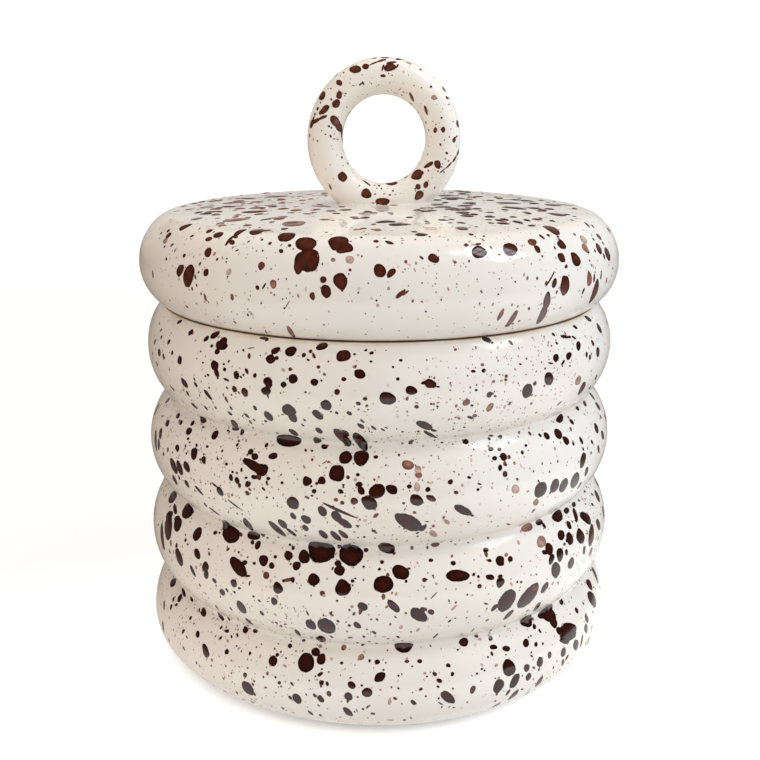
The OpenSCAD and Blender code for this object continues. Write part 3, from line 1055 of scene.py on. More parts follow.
def first_hit(lines, outside):
    """Where each line first enters a form: the first of many even strides that lies inside, then halved down.
    The function outside gives how far a point is outside the form, below zero inside."""
    reach = np.arange(NEAREST, FARTHEST, STRIDE)
    inside = outside(CAMERA_AT + reach[None, :, None] * lines[:, None, :]) < 0
    far = reach[inside.argmax(axis=1)]
    near = far - STRIDE
    for _ in range(HALVINGS):
        middle = (near + far) / 2
        within = outside(CAMERA_AT + middle[:, None] * lines) < 0
        far = np.where(within, middle, far)
        near = np.where(within, near, middle)
    return CAMERA_AT + far[:, None] * lines, inside.any(axis=1)


print(f"{len(np.arange(NEAREST, FARTHEST, STRIDE))} strides along each line of sight")


# %% Sight onto the turned forms
def turned_sight(outline, shape):
    """Function from pixels to bearing and run on a turned form, and whether the line of sight meets it."""
    run_at = walk(outline)
    tangent = np.gradient(outline, run_at, axis=0)

    def before_slump(points):
        bearing = np.arctan2(points[..., 1], points[..., 0])
        radius, height = np.hypot(points[..., 0], points[..., 1]), points[..., 2]
        moved = shape(radius, height, bearing)
        return 2 * radius - np.hypot(moved[..., 0], moved[..., 1]), 2 * height - moved[..., 2], bearing

    def outside(points):
        radius, height, _ = before_slump(points)
        return radius - np.interp(height, outline[:, 1], outline[:, 0], left=0, right=0)

    def sight(px, py):
        points, met = first_hit(sight_lines(px, py), outside)
        radius, height, bearing = before_slump(points)
        here = np.column_stack([radius, height])
        nearest = np.argmin(np.linalg.norm(here[:, None, :] - outline[None, :, :], axis=-1), axis=1)
        run = run_at[nearest] + ((here - outline[nearest]) * tangent[nearest]).sum(axis=1)
        return np.column_stack([bearing, np.clip(run, run_at[0], run_at[-1])]), met

    return sight


pot_sight = turned_sight(pot_outside, slumped_pot)
lid_sight = turned_sight(lid_outside, slumped_lid)
middle, _ = pot_sight(np.array([FRAME_PX / 2]), np.array([FRAME_PX * 2 / 3]))
print(f"below the picture's middle, the pot is met {middle[0, 1] / MM:.0f} mm along its outline")

# %% Sight onto the ring
LOOP_ROUNDS = 4


def ring_place(points):
    """Loop and turn angles of points about the ring, and how far they are outside its section."""
    x, y, z = points[..., 0] - ring_x, points[..., 1], points[..., 2] - ring_z
    loop = np.arctan2(z, x)
    for _ in range(LOOP_ROUNDS):
        loop = np.arctan2(z - RING_STRETCH / 2 * np.sin(loop), x)
    outward = np.hypot(x, z - RING_STRETCH / 2 * np.sin(loop)) - loop_r
    return loop, np.arctan2(y, outward), np.hypot(outward, y) - coil_r(loop)


def ring_sight(px, py):
    """Loop and turn on the ring for pixels, and whether the line of sight meets it."""
    points, met = first_hit(sight_lines(px, py), lambda points: ring_place(points)[2])
    loop, turn, _ = ring_place(points)
    return np.column_stack([loop, turn]), met


print(f"the ring's section is {2 * coil_r(np.pi / 2) / MM:.1f} mm thick at the top")

# %% From drops in the picture to drops on the jar
PIXEL = 0.33 * MM
LONGEST = 1.6
TAPER_SPREAD = 0.1
NO_LEAN, FULL_DEPTH = 0, 1.0
GRID_STEPS = (("fine", 0, 1.1 * MM), ("round", 1.1 * MM, 2.6 * MM), ("broad", 2.6 * MM, 1))


def pixel_slope(px, py, step_x, step_y, centre, stretch, sight):
    """Metres on the surface per pixel in one direction: the smaller of the moves to either side, so that a
    step over the edge of a bulge doesn't count."""
    moves = []
    for way in (-1, 1):
        place, met = sight(px + way * step_x, py + way * step_y)
        move = np.angle(np.exp(1j * (place - centre))) * stretch * way
        move[~met] = FARTHEST
        moves.append(move)
    smaller = np.linalg.norm(moves[0], axis=1) < np.linalg.norm(moves[1], axis=1)
    return np.where(smaller[:, None], moves[0], moves[1])


def placed_drops(drops, sight, patch, stretch_at, depth, rng, dome=WALL_DOME):
    """Batches of lenses for drops of the picture. A drop's axes in pixels, length * (cos, -sin) and
    width * (sin, cos) of its lean, go to the surface by its metres per pixel, held to a likely length. The
    depth scales all their tones."""
    table = np.array([(*drop, *(NO_LEAN, FULL_DEPTH)[len(drop) - 4 :]) for drop in drops])
    px, py, length, width, lean, tone = table[sight(table[:, 0], table[:, 1])[1]].T
    centre, _ = sight(px, py)
    stretch = stretch_at(centre)
    across = pixel_slope(px, py, 1, 0, centre, stretch, sight)
    down = pixel_slope(px, py, 0, 1, centre, stretch, sight)
    cosine, sine = np.cos(np.radians(lean)), np.sin(np.radians(lean))
    oval = np.array([[cosine * length / 2, sine * width / 2], [-sine * length / 2, cosine * width / 2]])
    axes = np.stack([across, down], axis=-1) @ np.moveaxis(oval, 2, 0)
    left, sizes, right = np.linalg.svd(axes)
    sizes = np.minimum(sizes, LONGEST * PIXEL * length[:, None] / 2)
    axes = (left * sizes[:, None, :]) @ right
    breadth = 2 * np.sqrt(sizes[:, 0] * sizes[:, 1])
    taper = rng.normal(0, TAPER_SPREAD, len(px))
    batches = []
    for grid, low, high in GRID_STEPS:
        take = (breadth >= low) & (breadth < high)
        if take.any():
            shape = (centre[take], stretch[take], axes[take], taper[take])
            batches.append(lay_drops(grid, patch, *shape, depth * tone[take], rng, dome))
    return batches


print(f"broad drops are {GRID_STEPS[2][1] / MM:.1f} mm across or more")

# %% [markdown]
# Each drop is a place in the picture, x to the right and y down, and a length and a width, all in pixels,
# then a lean in degrees and the glaze's share of full depth. Without these two it lies level and is at full
# depth. Places read off keep the rows, clusters and gaps of the real flicks, which no random scatter has.

# %% Drops of the lid
LID_LEFT_DROPS = [
    (196.5, 218.8, 14, 2.6, 14), (185.3, 226.5, 15, 3.8, 25), (168.3, 230.7, 4.5, 2.2, 40),
    (161.1, 233.2, 3, 1.6, 50), (168.5, 235.3, 7.5, 3.5, 45), (165.3, 240.5, 7, 3.5, 60, 0.35),
    (164.5, 246.7, 2.8, 1.8, 60), (192, 236, 4.8, 2, 28), (209.1, 231, 7, 3.4, 25),
    (218.3, 234.7, 11, 5.4, 20), (208.8, 239, 7.4, 4.2, 22), (220.5, 223.2, 9.6, 2.4, 12),
    (220.8, 225.7, 6.8, 2.3, 14), (229.8, 220, 10.5, 2.2, 5), (229.5, 240, 14.5, 2.8, 50),
    (240, 231.5, 15.5, 4.2, 29), (235.5, 236.8, 5, 3.4), (232, 242.2, 6, 5.2),
    (249.8, 227.7, 3.8, 1.6, 18), (257, 231.2, 16.3, 7, 14), (247.5, 217.7, 8, 2, 8),
    (268.2, 218.8, 17.5, 1.6, 11), (272, 222, 8, 2.4, 18), (283, 216.8, 10, 2.4, 2),
    (294, 223.6, 24, 5.6, 3, 0.5), (284.5, 228.7, 8.5, 2.4, 9), (286.8, 235.7, 18.8, 9.8, 11),
    (270, 243.3, 4.2, 3, 30), (289.5, 245.4, 3.8, 3.4), (281, 251, 4.6, 4.6),
    (262, 239.7, 2.8, 2.2, 25), (262.7, 250.7, 2.2, 2.2), (208, 252.2, 10.6, 6.4, 60),
    (214.3, 254, 4.2, 2, 65, 0.5), (184.1, 255.7, 4.6, 2.8, 62), (166.3, 259, 3, 1.9, 85),
    (180, 270.4, 13.8, 6.2, 70), (188.3, 276.2, 24, 10.6, 81), (199.9, 263.7, 4.3, 2, 65),
    (198.5, 272.2, 3, 1.8, 70), (206, 272.5, 7.8, 5.2, 80), (195.3, 277, 5.5, 1.6, 100),
    (196.5, 285.2, 3.6, 1.7, 100), (192.1, 288.8, 4.6, 1.7, 98), (152.8, 274.3, 7.6, 1.6, 93, 0.8),
    (228.8, 272, 7.4, 5, 65, 0.12), (261.3, 266, 8.6, 6.4, 75, 0.7), (273.3, 284.2, 9.5, 6, 100, 0.45),
    (257.5, 287.7, 5, 3.6, 110), (264, 286.2, 7.4, 1.9, 58), (201.2, 293.8, 3.6, 1.6, 100),
    (205.2, 297.5, 8, 2.6, 107, 0.5), (232.3, 297, 6.6, 3, 105, 0.6), (226.8, 258.5, 2, 2),
    (226.2, 262, 2, 2), (287.3, 304.5, 10, 1.2, 58, 0.6), (284.3, 308.3, 2.2, 2.2),
    (291.3, 333, 15.5, 4.4, -57, 0.55), (266, 331.8, 5, 1.5, -60, 0.5), (250.7, 328.5, 2.4, 1.8, -45, 0.6),
]
LID_MIDDLE_DROPS = [
    (306, 243, 22, 15), (307, 260, 26, 24), (298.5, 266, 16, 9, 90), (298, 272, 5.5, 5),
    (338.5, 241.5, 21, 15, 8), (346, 247, 15, 11, -25), (341, 251.5, 10, 4),
    (333.3, 259.8, 4.4, 4.2, 0, 0.45), (349.8, 259.7, 8.8, 7.8, -30, 0.2), (350, 270, 3.2, 3.2),
    (323.3, 279.7, 7.4, 6.4, 95), (326, 291.5, 13.8, 10, 105), (340.5, 281.3, 17.6, 13.8, 110),
    (312.3, 296.2, 8, 5.6, 105, 0.85), (379.7, 270.3, 14.4, 12, 120), (391, 273.2, 11.4, 6.6, 45),
    (433.7, 258.3, 12, 9, -30), (400.5, 294, 13, 4.4, 42, 0.8), (405.5, 293, 8.5, 2.4, 38, 0.75),
    (376, 241.2, 5.8, 3.2), (389.3, 242.5, 10, 3.2, -18), (377.3, 247, 2.7, 1.9),
    (365.6, 234.5, 3, 2), (361.2, 237.2, 2.9, 1.9), (363.8, 231.7, 2.6, 1.4, 0, 0.6),
    (361.8, 256.3, 2.2, 2.2, 0, 0.8), (373, 229.3, 4.6, 1.5), (326.5, 232.3, 4.2, 1.5, 0, 0.8),
    (431, 228.5, 13, 8, 0, 0.12), (357, 229.5, 9, 1.9, 2, 0.4), (429.8, 236.7, 2.8, 1.8),
    (415.3, 239.4, 2.2, 1.5), (455, 262.2, 3.5, 3, 0, 0.55), (368.3, 283.2, 1.9, 1.9, 0, 0.5),
    (422, 283, 1.9, 1.9, 0, 0.5), (376.5, 300.5, 2.5, 2.2), (412.7, 301, 4, 2.4, 75, 0.5),
]
LID_RIGHT_DROPS = [
    (462, 228.5, 13.5, 4.6, -8), (471, 234.3, 5.8, 3, -15), (475.2, 236.7, 2.1, 1.5),
    (483.8, 236.1, 2.8, 1.9), (466.3, 245, 5, 3.4, -10, 0.8), (478.3, 244.2, 6.8, 2.5, 8),
    (479.5, 252, 15.5, 12.5, -10), (510, 249, 15, 13, -30), (532.2, 242, 9.4, 6.8, -15, 0.7),
    (537.3, 249, 9, 5, -60), (551.5, 228.8, 19.5, 6.4, -27), (541.8, 236.7, 7.6, 2.5, -38),
    (548.3, 235.2, 4.2, 2.4, -35), (558, 236.7, 3, 2.2, -30), (561.7, 244.5, 11.2, 7, -50),
    (561.7, 257.7, 10.6, 6.6, -62), (575.7, 259, 16, 8, -64), (583.5, 239.5, 10.5, 5, -50, 0.2),
    (585.3, 248.2, 10.5, 5, -60, 0.4), (588, 251.5, 4.5, 2.4, -60), (599, 236.7, 8.6, 2.5, -52),
    (593.5, 239.3, 3.7, 1.5, -55), (603, 243, 4, 1.4, -60), (599, 248.7, 12, 4.4, -66),
    (607.7, 254, 14.6, 4.4, -73), (604.2, 256.2, 6.2, 1.8, -76), (595, 250.7, 3.8, 1.6, -65),
    (554.8, 247.7, 3.8, 1.9, -65, 0.8), (542.2, 256.2, 3, 2.2, -55, 0.8), (550.5, 279, 19.5, 1.8, 60),
    (546.2, 283, 5, 2.6, 75, 0.6), (554.5, 283, 10.2, 4.6, 74), (565, 285.5, 20.8, 9.2, 85),
    (556.7, 292.2, 4.4, 1.8, 80), (589.5, 279, 14.6, 5, 90, 0.5), (594.2, 278.2, 8.6, 2, 85, 0.85),
    (595, 292, 29, 4.8, 73), (601, 276.2, 6.6, 1.5, 85), (606.5, 280.5, 5.6, 1.3, 85, 0.7),
    (583.3, 291.2, 7.2, 1.8, 66), (498.3, 294.2, 2.8, 1.8, 70, 0.8), (527.5, 278, 4, 2.2, 80, 0.5),
    (537.2, 278.3, 3.4, 2.2, 90, 0.7), (500.8, 314.7, 13.5, 4, 62, 0.55), (512, 319.5, 20.5, 5, 58, 0.7),
    (517.8, 306.5, 3.2, 1.6, 60, 0.6), (547, 301.5, 19, 7.2, 80), (542.5, 315, 24, 6.6, 66),
]
LID_DROPS = LID_LEFT_DROPS + LID_MIDDLE_DROPS + LID_RIGHT_DROPS
print(f"{len(LID_DROPS)} drops read")

# %% Drops of the crown
CROWN_LEFT_DROPS = [
    (198.5, 212.5, 10, 1.2, 10, 0.8), (206, 213.8, 13.5, 1.5, 4), (218.5, 211.7, 9, 1.2, 0, 0.8),
    (254.5, 211.7, 28, 2.3, 2, 0.75), (228.5, 206.7, 15, 1.4, 0, 0.6), (257.5, 208, 18, 1.3, 2, 0.6),
    (248, 198.5, 20, 1.4, 0, 0.5), (215, 201, 16, 1, 4, 0.5), (273, 206.5, 10, 1, 3, 0.5),
    (216, 209, 13, 1.3, 2, 0.5),
]
CROWN_MIDDLE_DROPS = [
    (384.5, 221.7, 17, 2.7, 3), (373.7, 224.3, 6.4, 1.5, 8), (364.8, 217.8, 11.6, 1.7, 3),
    (367.7, 211.8, 10, 1.7, 2), (404.7, 224.8, 6, 1.8, -6), (409.7, 217.3, 8, 1.5),
    (427, 221.8, 6, 1.4, -8, 0.8), (394, 205.2, 9, 2, 0, 0.3), (325, 219.7, 11.5, 1.2, 0, 0.6),
    (336.5, 213.5, 9, 1.2, 0, 0.9), (345.5, 210, 15, 1.1, 2, 0.8), (331, 211, 11, 1.1),
    (342, 206.8, 7, 1.7), (418, 210, 8, 1.6, -2), (445, 195.7, 15, 1.6), (447, 198.2, 15, 1.4, 2),
    (445, 202.7, 9, 1.6, 5), (441, 207, 11, 1.5, 3), (452, 208.3, 18, 1.7, -6),
]
CROWN_RIGHT_DROPS = [
    (467, 216, 15, 2, -4), (465, 212.5, 11, 1.6, -2), (469.5, 203, 15, 1.6), (465, 205.7, 17, 1.7, 2),
    (465.5, 209.5, 15, 1.8, 3), (490, 216.8, 11.5, 1.8, -2), (499.5, 220.5, 11, 2, -12),
    (504.7, 219.5, 9.8, 2, -8), (517.7, 222, 12.6, 2.5, -12), (527, 220.3, 9.8, 2.4, -17),
    (528.5, 213.5, 7.5, 1.5, -5), (540.5, 218.2, 6, 1.5, -15), (552.3, 221, 8, 2.4, -18),
    (557.5, 214.5, 17.6, 2.7, -7), (508, 203, 24, 1.8, -2), (515, 208, 25, 2.1, -5),
    (534.5, 208.2, 14, 1.9, -4), (549.5, 209, 11, 1.3, -5), (553, 205, 18, 2.2, -3),
    (534, 203.3, 11, 1.5, -3), (516, 199.8, 12, 1.4, -2), (499.5, 198.6, 8, 1.2),
    (478, 196.7, 13, 1.2, 0, 0.7), (469, 199.3, 7, 1.2, 0, 0.9), (462, 193.5, 9, 1.2, 0, 0.8),
    (574.5, 208.7, 7, 1.2, -8, 0.8), (572, 220, 5, 1.5, -18), (574.5, 216.5, 6, 1, -15, 0.7),
    (587, 224.5, 8, 1.5, -42), (592.7, 226.2, 5.2, 1.4, -48), (608.5, 230, 7.4, 1, -55, 0.7),
    (574.5, 234.3, 3.7, 1.5, -45), (517.5, 228.5, 3.4, 1.5, -10, 0.8), (490, 212.5, 9, 1, -2, 0.7),
    (480.5, 211, 5, 1.2), (544, 211.3, 5, 1.2, -5),
]
CROWN_DROPS = CROWN_LEFT_DROPS + CROWN_MIDDLE_DROPS + CROWN_RIGHT_DROPS
print(f"{len(CROWN_DROPS)} drops read")

# %% Drops of the ring
RING_LEFT_DROPS = [
    (355, 68.9, 13, 8, 5), (365.6, 66.3, 7.2, 6.2), (375, 62.7, 14, 1.8, 22), (382, 60.2, 10, 2.6, 18),
    (374.4, 58, 5, 1.6, 5), (363, 83.3, 4.5, 2.3, -65), (360.5, 84.2, 4.5, 2, 45),
    (339.1, 82.6, 7.4, 5.6, -30), (335.5, 75.5, 7.4, 2, 30), (326.7, 83.3, 4.4, 1.6, 55),
    (353, 63.3, 7.4, 1.2, 20, 0.6), (322, 95.6, 9.6, 6, 62), (339.2, 95, 8.4, 6, 80),
    (336.2, 103.6, 9.6, 8, 55), (331.2, 99.4, 3, 2.2, -60), (317.6, 108.7, 4, 2.2, 70),
    (324.5, 109.5, 12, 6.4, 45), (322, 112, 8, 4.5, 25), (322.5, 117.5, 11, 3.4, 24),
    (316, 120.8, 9, 4, 30), (311.6, 124, 10, 3.4, 75), (313.4, 118.5, 5, 2, 72),
    (314.8, 114.2, 3.2, 1.9, 75), (335.5, 121.5, 13, 9, -50), (340, 128, 12, 7, -55),
    (342.2, 137, 19, 2, -82), (328.9, 126.2, 2.9, 2.6), (330.6, 136.2, 3.4, 2.3, -60),
    (334.4, 138.7, 2, 1.6, 0, 0.8), (337.5, 139.4, 2.8, 1.6, -25, 0.8), (309.6, 135.5, 4, 1.2, 90),
    (342, 157.5, 2.7, 1.9, -70), (347.8, 163.5, 2.6, 1.6, -60), (350, 162, 7, 1.2, -60, 0.7),
    (342.6, 176.7, 11, 9, -65), (330.3, 187, 6.6, 1.9, -70), (366.5, 182.8, 10.4, 1.9, -38),
    (366.4, 193.5, 11, 10, -40), (375.1, 194.1, 2.3, 1.9), (379.1, 185.5, 2.9, 2.3, 0, 0.8),
    (381.5, 188.6, 2.2, 1.6, -30), (376.7, 188.3, 1.8, 1.6, 0, 0.7), (382.5, 201.8, 15, 8, 4),
    (373.2, 203.2, 4.5, 1.8), (355.6, 205.3, 2, 1.3), (363.9, 203.9, 1.8, 1.4),
    (330.8, 88.6, 2, 1.6, 0, 0.7), (353.8, 85.6, 1.8, 1.6, 0, 0.5),
]
RING_RIGHT_DROPS = [
    (385, 57.4, 9, 1.6), (390, 67.2, 12, 8.6, 12), (382.8, 67.8, 7.5, 2.4, 75),
    (391.5, 62.4, 11, 2.8, 8), (397.2, 66, 5.6, 2.2, 60), (383, 75.8, 5.6, 3.4),
    (392, 75.4, 1.9, 1.7, 0, 0.8), (388.6, 73.5, 1.7, 1.5, 0, 0.8), (400.5, 59, 10, 2, -5),
    (408.5, 63, 7, 1.3, -30, 0.5), (420.6, 69.5, 3, 1.8, -40), (399.8, 89.4, 6, 1, 45, 0.6),
    (411.7, 97.2, 11, 3, -66), (426.1, 110.5, 10.4, 3, -72), (431.1, 86.7, 3, 2.6),
    (414.1, 85.6, 1.8, 1.7, 0, 0.7), (433.9, 97.5, 6, 5.6, 0, 0.3), (444.3, 88.9, 7.4, 4.2, -62),
    (447.3, 97.8, 4.6, 2.6, -40, 0.8), (441.5, 117.9, 2.7, 2.5), (457.8, 123.9, 7.8, 2.8, -78),
    (435.2, 130.2, 6.2, 4, 80), (443.1, 129.7, 6.6, 4.4, 85), (454.2, 139.8, 6, 3.6, 75),
    (425.8, 122.4, 3, 1.5, -80, 0.8), (428.7, 130.2, 2.6, 1.3, -85, 0.7), (446.7, 153.1, 3.2, 2.6, -35),
    (448.5, 160.9, 2.1, 2), (437.6, 164.5, 9, 7, -70), (428.5, 165, 12, 4, 32),
    (416.5, 174.6, 13, 10, 30), (421.5, 173, 5, 4.4, 40), (406, 177, 5, 1.3, 40, 0.7),
    (438, 171.3, 2.2, 1.9), (428.2, 170.9, 1.9, 1.7), (442.5, 170.8, 8.5, 1.4, 40),
    (449, 165.3, 9.5, 2, 46), (454.7, 158.9, 8.5, 2.2, 57), (458, 152.7, 7, 2, 70),
    (418, 186.7, 6.2, 5.6, 90), (425.9, 184.7, 7.4, 5.2, 70), (419, 195.5, 11, 8, 55),
    (434.7, 187.8, 3.2, 1.5, 65, 0.5), (391.3, 183.3, 12.6, 3.8, 5), (392.9, 190.8, 2.3, 2),
    (389.8, 194.9, 2.7, 2.2), (444.5, 140.2, 1.8, 1.6, 0, 0.6),
]
RING_DROPS = RING_LEFT_DROPS + RING_RIGHT_DROPS
print(f"{len(RING_DROPS)} drops read")

# %% Drops of the pot's top bulge
TOP_BULGE_LEFT_DROPS = [
    (179.4, 321.8, 6.4, 2.8, 40), (190.7, 332.4, 7.4, 3.8, 55), (206.3, 338.7, 7, 4, 48),
    (215, 334.9, 11.4, 5.4, 38), (223.3, 341.3, 9, 7.4, 40), (221.5, 345.3, 12, 9.5, -10),
    (217.2, 351.5, 6.6, 4.8, 60), (211.7, 346, 3.6, 2.8, 60), (168.7, 342, 5.6, 2.8, 65),
    (161.4, 337.1, 3.6, 1.6, 75), (160.9, 330.2, 4.2, 1.5, 62, 0.6), (154.9, 341.8, 6.6, 1.7, 70, 0.8),
    (159.2, 352.7, 8, 3, 95), (163.5, 356.7, 6.6, 2, 97), (172.1, 352.8, 4.8, 2.4, 85),
    (179.7, 360, 8.8, 4.6, 88), (157, 364, 5, 1.4, 108, 0.8), (200.7, 351.4, 2, 2),
    (203, 362.7, 2.3, 2.2), (214.6, 365.5, 10.5, 7.6, 100), (216.6, 372.5, 10, 4.6, 107),
    (217.6, 377, 5, 2, 105), (184.3, 383, 11, 4.6, -58), (187.7, 393.7, 6.4, 2, -62),
    (194.5, 379.5, 4.2, 1.6, -70, 0.8), (195.8, 384.8, 6, 2.6, -60, 0.9), (208, 375, 3.3, 2.3, -40),
    (205.3, 376.2, 2.4, 1.9), (224.6, 369.3, 4.2, 3.2, 100), (223.8, 364.2, 2.6, 2.5),
    (228.7, 361.3, 3.3, 2, 65), (236.3, 375, 8.6, 5.6, 98), (226.2, 379.7, 7.2, 2.4, -28),
    (240.8, 377, 3.2, 2.3, -50), (243.5, 374.8, 2.8, 2.3, 50), (246.8, 371.2, 6, 3.4, -70, 0.85),
    (254.7, 375.5, 4.8, 3.8, 75), (234.5, 389.2, 7, 4.6, 105, 0.75), (244.8, 392.5, 9.6, 6.4, 115, 0.8),
    (239, 392.8, 3, 1.6, -60), (227, 388, 3.2, 2, -45, 0.8), (208, 395, 13.5, 3.2, -52, 0.9),
    (267.8, 381.5, 9.4, 8.6, 90), (268.8, 385.2, 7, 7), (266, 390.8, 9.6, 8.8),
    (275.5, 350.6, 10, 6.2, 35), (270.5, 359, 9.6, 9.2), (276.5, 358, 4.6, 4.2),
    (291, 351.2, 12.2, 9.6, 30), (293.1, 378.8, 9.4, 9.4), (283.6, 384.5, 6, 5.8),
    (243.3, 350, 2.7, 2.2), (251, 348, 6.8, 1.2, 10), (264, 338.2, 9.5, 3, -3),
    (266.7, 340.2, 4.2, 2.2, 15, 0.8), (172, 388, 8, 1.2, -50),
]
TOP_BULGE_MIDDLE_DROPS = [
    (321.7, 346.5, 12.6, 7, 20), (303.7, 355, 4.8, 4.2, 30), (343.5, 355.7, 15.4, 11.6, 8, 0.8),
    (354.5, 354.2, 3.3, 2.3), (359.8, 374, 11.8, 9.4, -20), (354.5, 366.5, 4, 2.6, 30, 0.3),
    (371.5, 353, 4.8, 3.4, 20), (365.7, 350.2, 3.6, 2.6, 20), (371, 361.5, 3.1, 2.9),
    (318.5, 367, 3.8, 3.6, 0, 0.7), (314.5, 382.2, 7.6, 7.4), (343.8, 379.2, 5.2, 4.2, -5, 0.9),
    (337, 392, 6.2, 5.8, 0, 0.9), (341, 400.2, 2.6, 2), (326, 405.2, 11.8, 9.6, -35),
    (365, 398.8, 4.7, 4), (358.2, 403.5, 5.4, 3.8, -20, 0.8), (387.5, 398.5, 16, 13.6, -18),
    (411.5, 390.5, 12.2, 8.8, -12), (430.5, 383.8, 13, 8.6, -22, 0.8), (424, 382.8, 6, 3.6, 10),
    (438, 386.8, 4, 2.2), (393, 367, 2.8, 2.8), (400.8, 360.3, 3.8, 3), (397.8, 379, 3.6, 3.4),
    (416.5, 406.7, 5, 3.6, -5, 0.9), (431.2, 404, 2.8, 2.6), (437.5, 406.5, 3, 2.4),
    (305.5, 392.2, 2.6, 2.4),
]
TOP_BULGE_RIGHT_DROPS = [
    (486.5, 339.5, 11, 5, -25), (492.3, 342.8, 2.6, 2.6), (575.2, 327, 6, 2.8, -42),
    (553.5, 334.5, 5, 2.2, -50), (588, 318.5, 9, 3.4, -40), (599.3, 328.2, 11.4, 3.2, -66),
    (564.5, 336.5, 9.4, 3.4, -10), (569.5, 337, 4, 3), (574, 337.5, 5.4, 2.2, -35),
    (556.8, 343.2, 3.3, 2.2, -50), (578.5, 346, 9.6, 4.6, 88), (592.8, 343, 6.8, 2.6, -68, 0.7),
    (598, 352.2, 10.4, 3.4, 88), (556, 358, 8.4, 5.6, 85), (568.8, 356, 8.2, 5.2, 72),
    (563, 362.8, 6.2, 2.4, 60), (550.5, 363.2, 5.8, 1.9, -8), (586.8, 354.8, 6.2, 2.2, 92),
    (590, 357.2, 6, 2.2, 88), (570, 366, 2.4, 1.8), (549, 378.8, 13.4, 9.2, 88),
    (527.5, 391, 14.4, 10.4, 64), (534.7, 383.7, 4.4, 3.2, 65), (484, 370.6, 4.6, 4.4),
    (473.2, 371.3, 5.2, 2.8, 0, 0.9), (476.3, 390.2, 3.2, 2.6), (505.8, 379.8, 3.4, 3, 0, 0.5),
    (489.3, 394.7, 6.6, 5.2, 55, 0.8), (495.2, 396.2, 2.8, 2.4), (466.3, 402.5, 8.2, 6, 35, 0.45),
    (472, 405.5, 3.4, 2.4, -5), (490, 407.3, 10, 5.4, 55, 0.35), (531.3, 403.5, 3.4, 2, 45, 0.6),
    (578.3, 380.5, 10.5, 5, 72, 0.25), (582, 388.5, 15.5, 4, 62, 0.85), (596, 377.5, 5.8, 1.5, 66),
    (590, 387.5, 6, 1.4, 66), (559.3, 403.5, 7, 1.5, 45),
]
TOP_BULGE_DROPS = TOP_BULGE_LEFT_DROPS + TOP_BULGE_MIDDLE_DROPS + TOP_BULGE_RIGHT_DROPS
print(f"{len(TOP_BULGE_DROPS)} drops read")

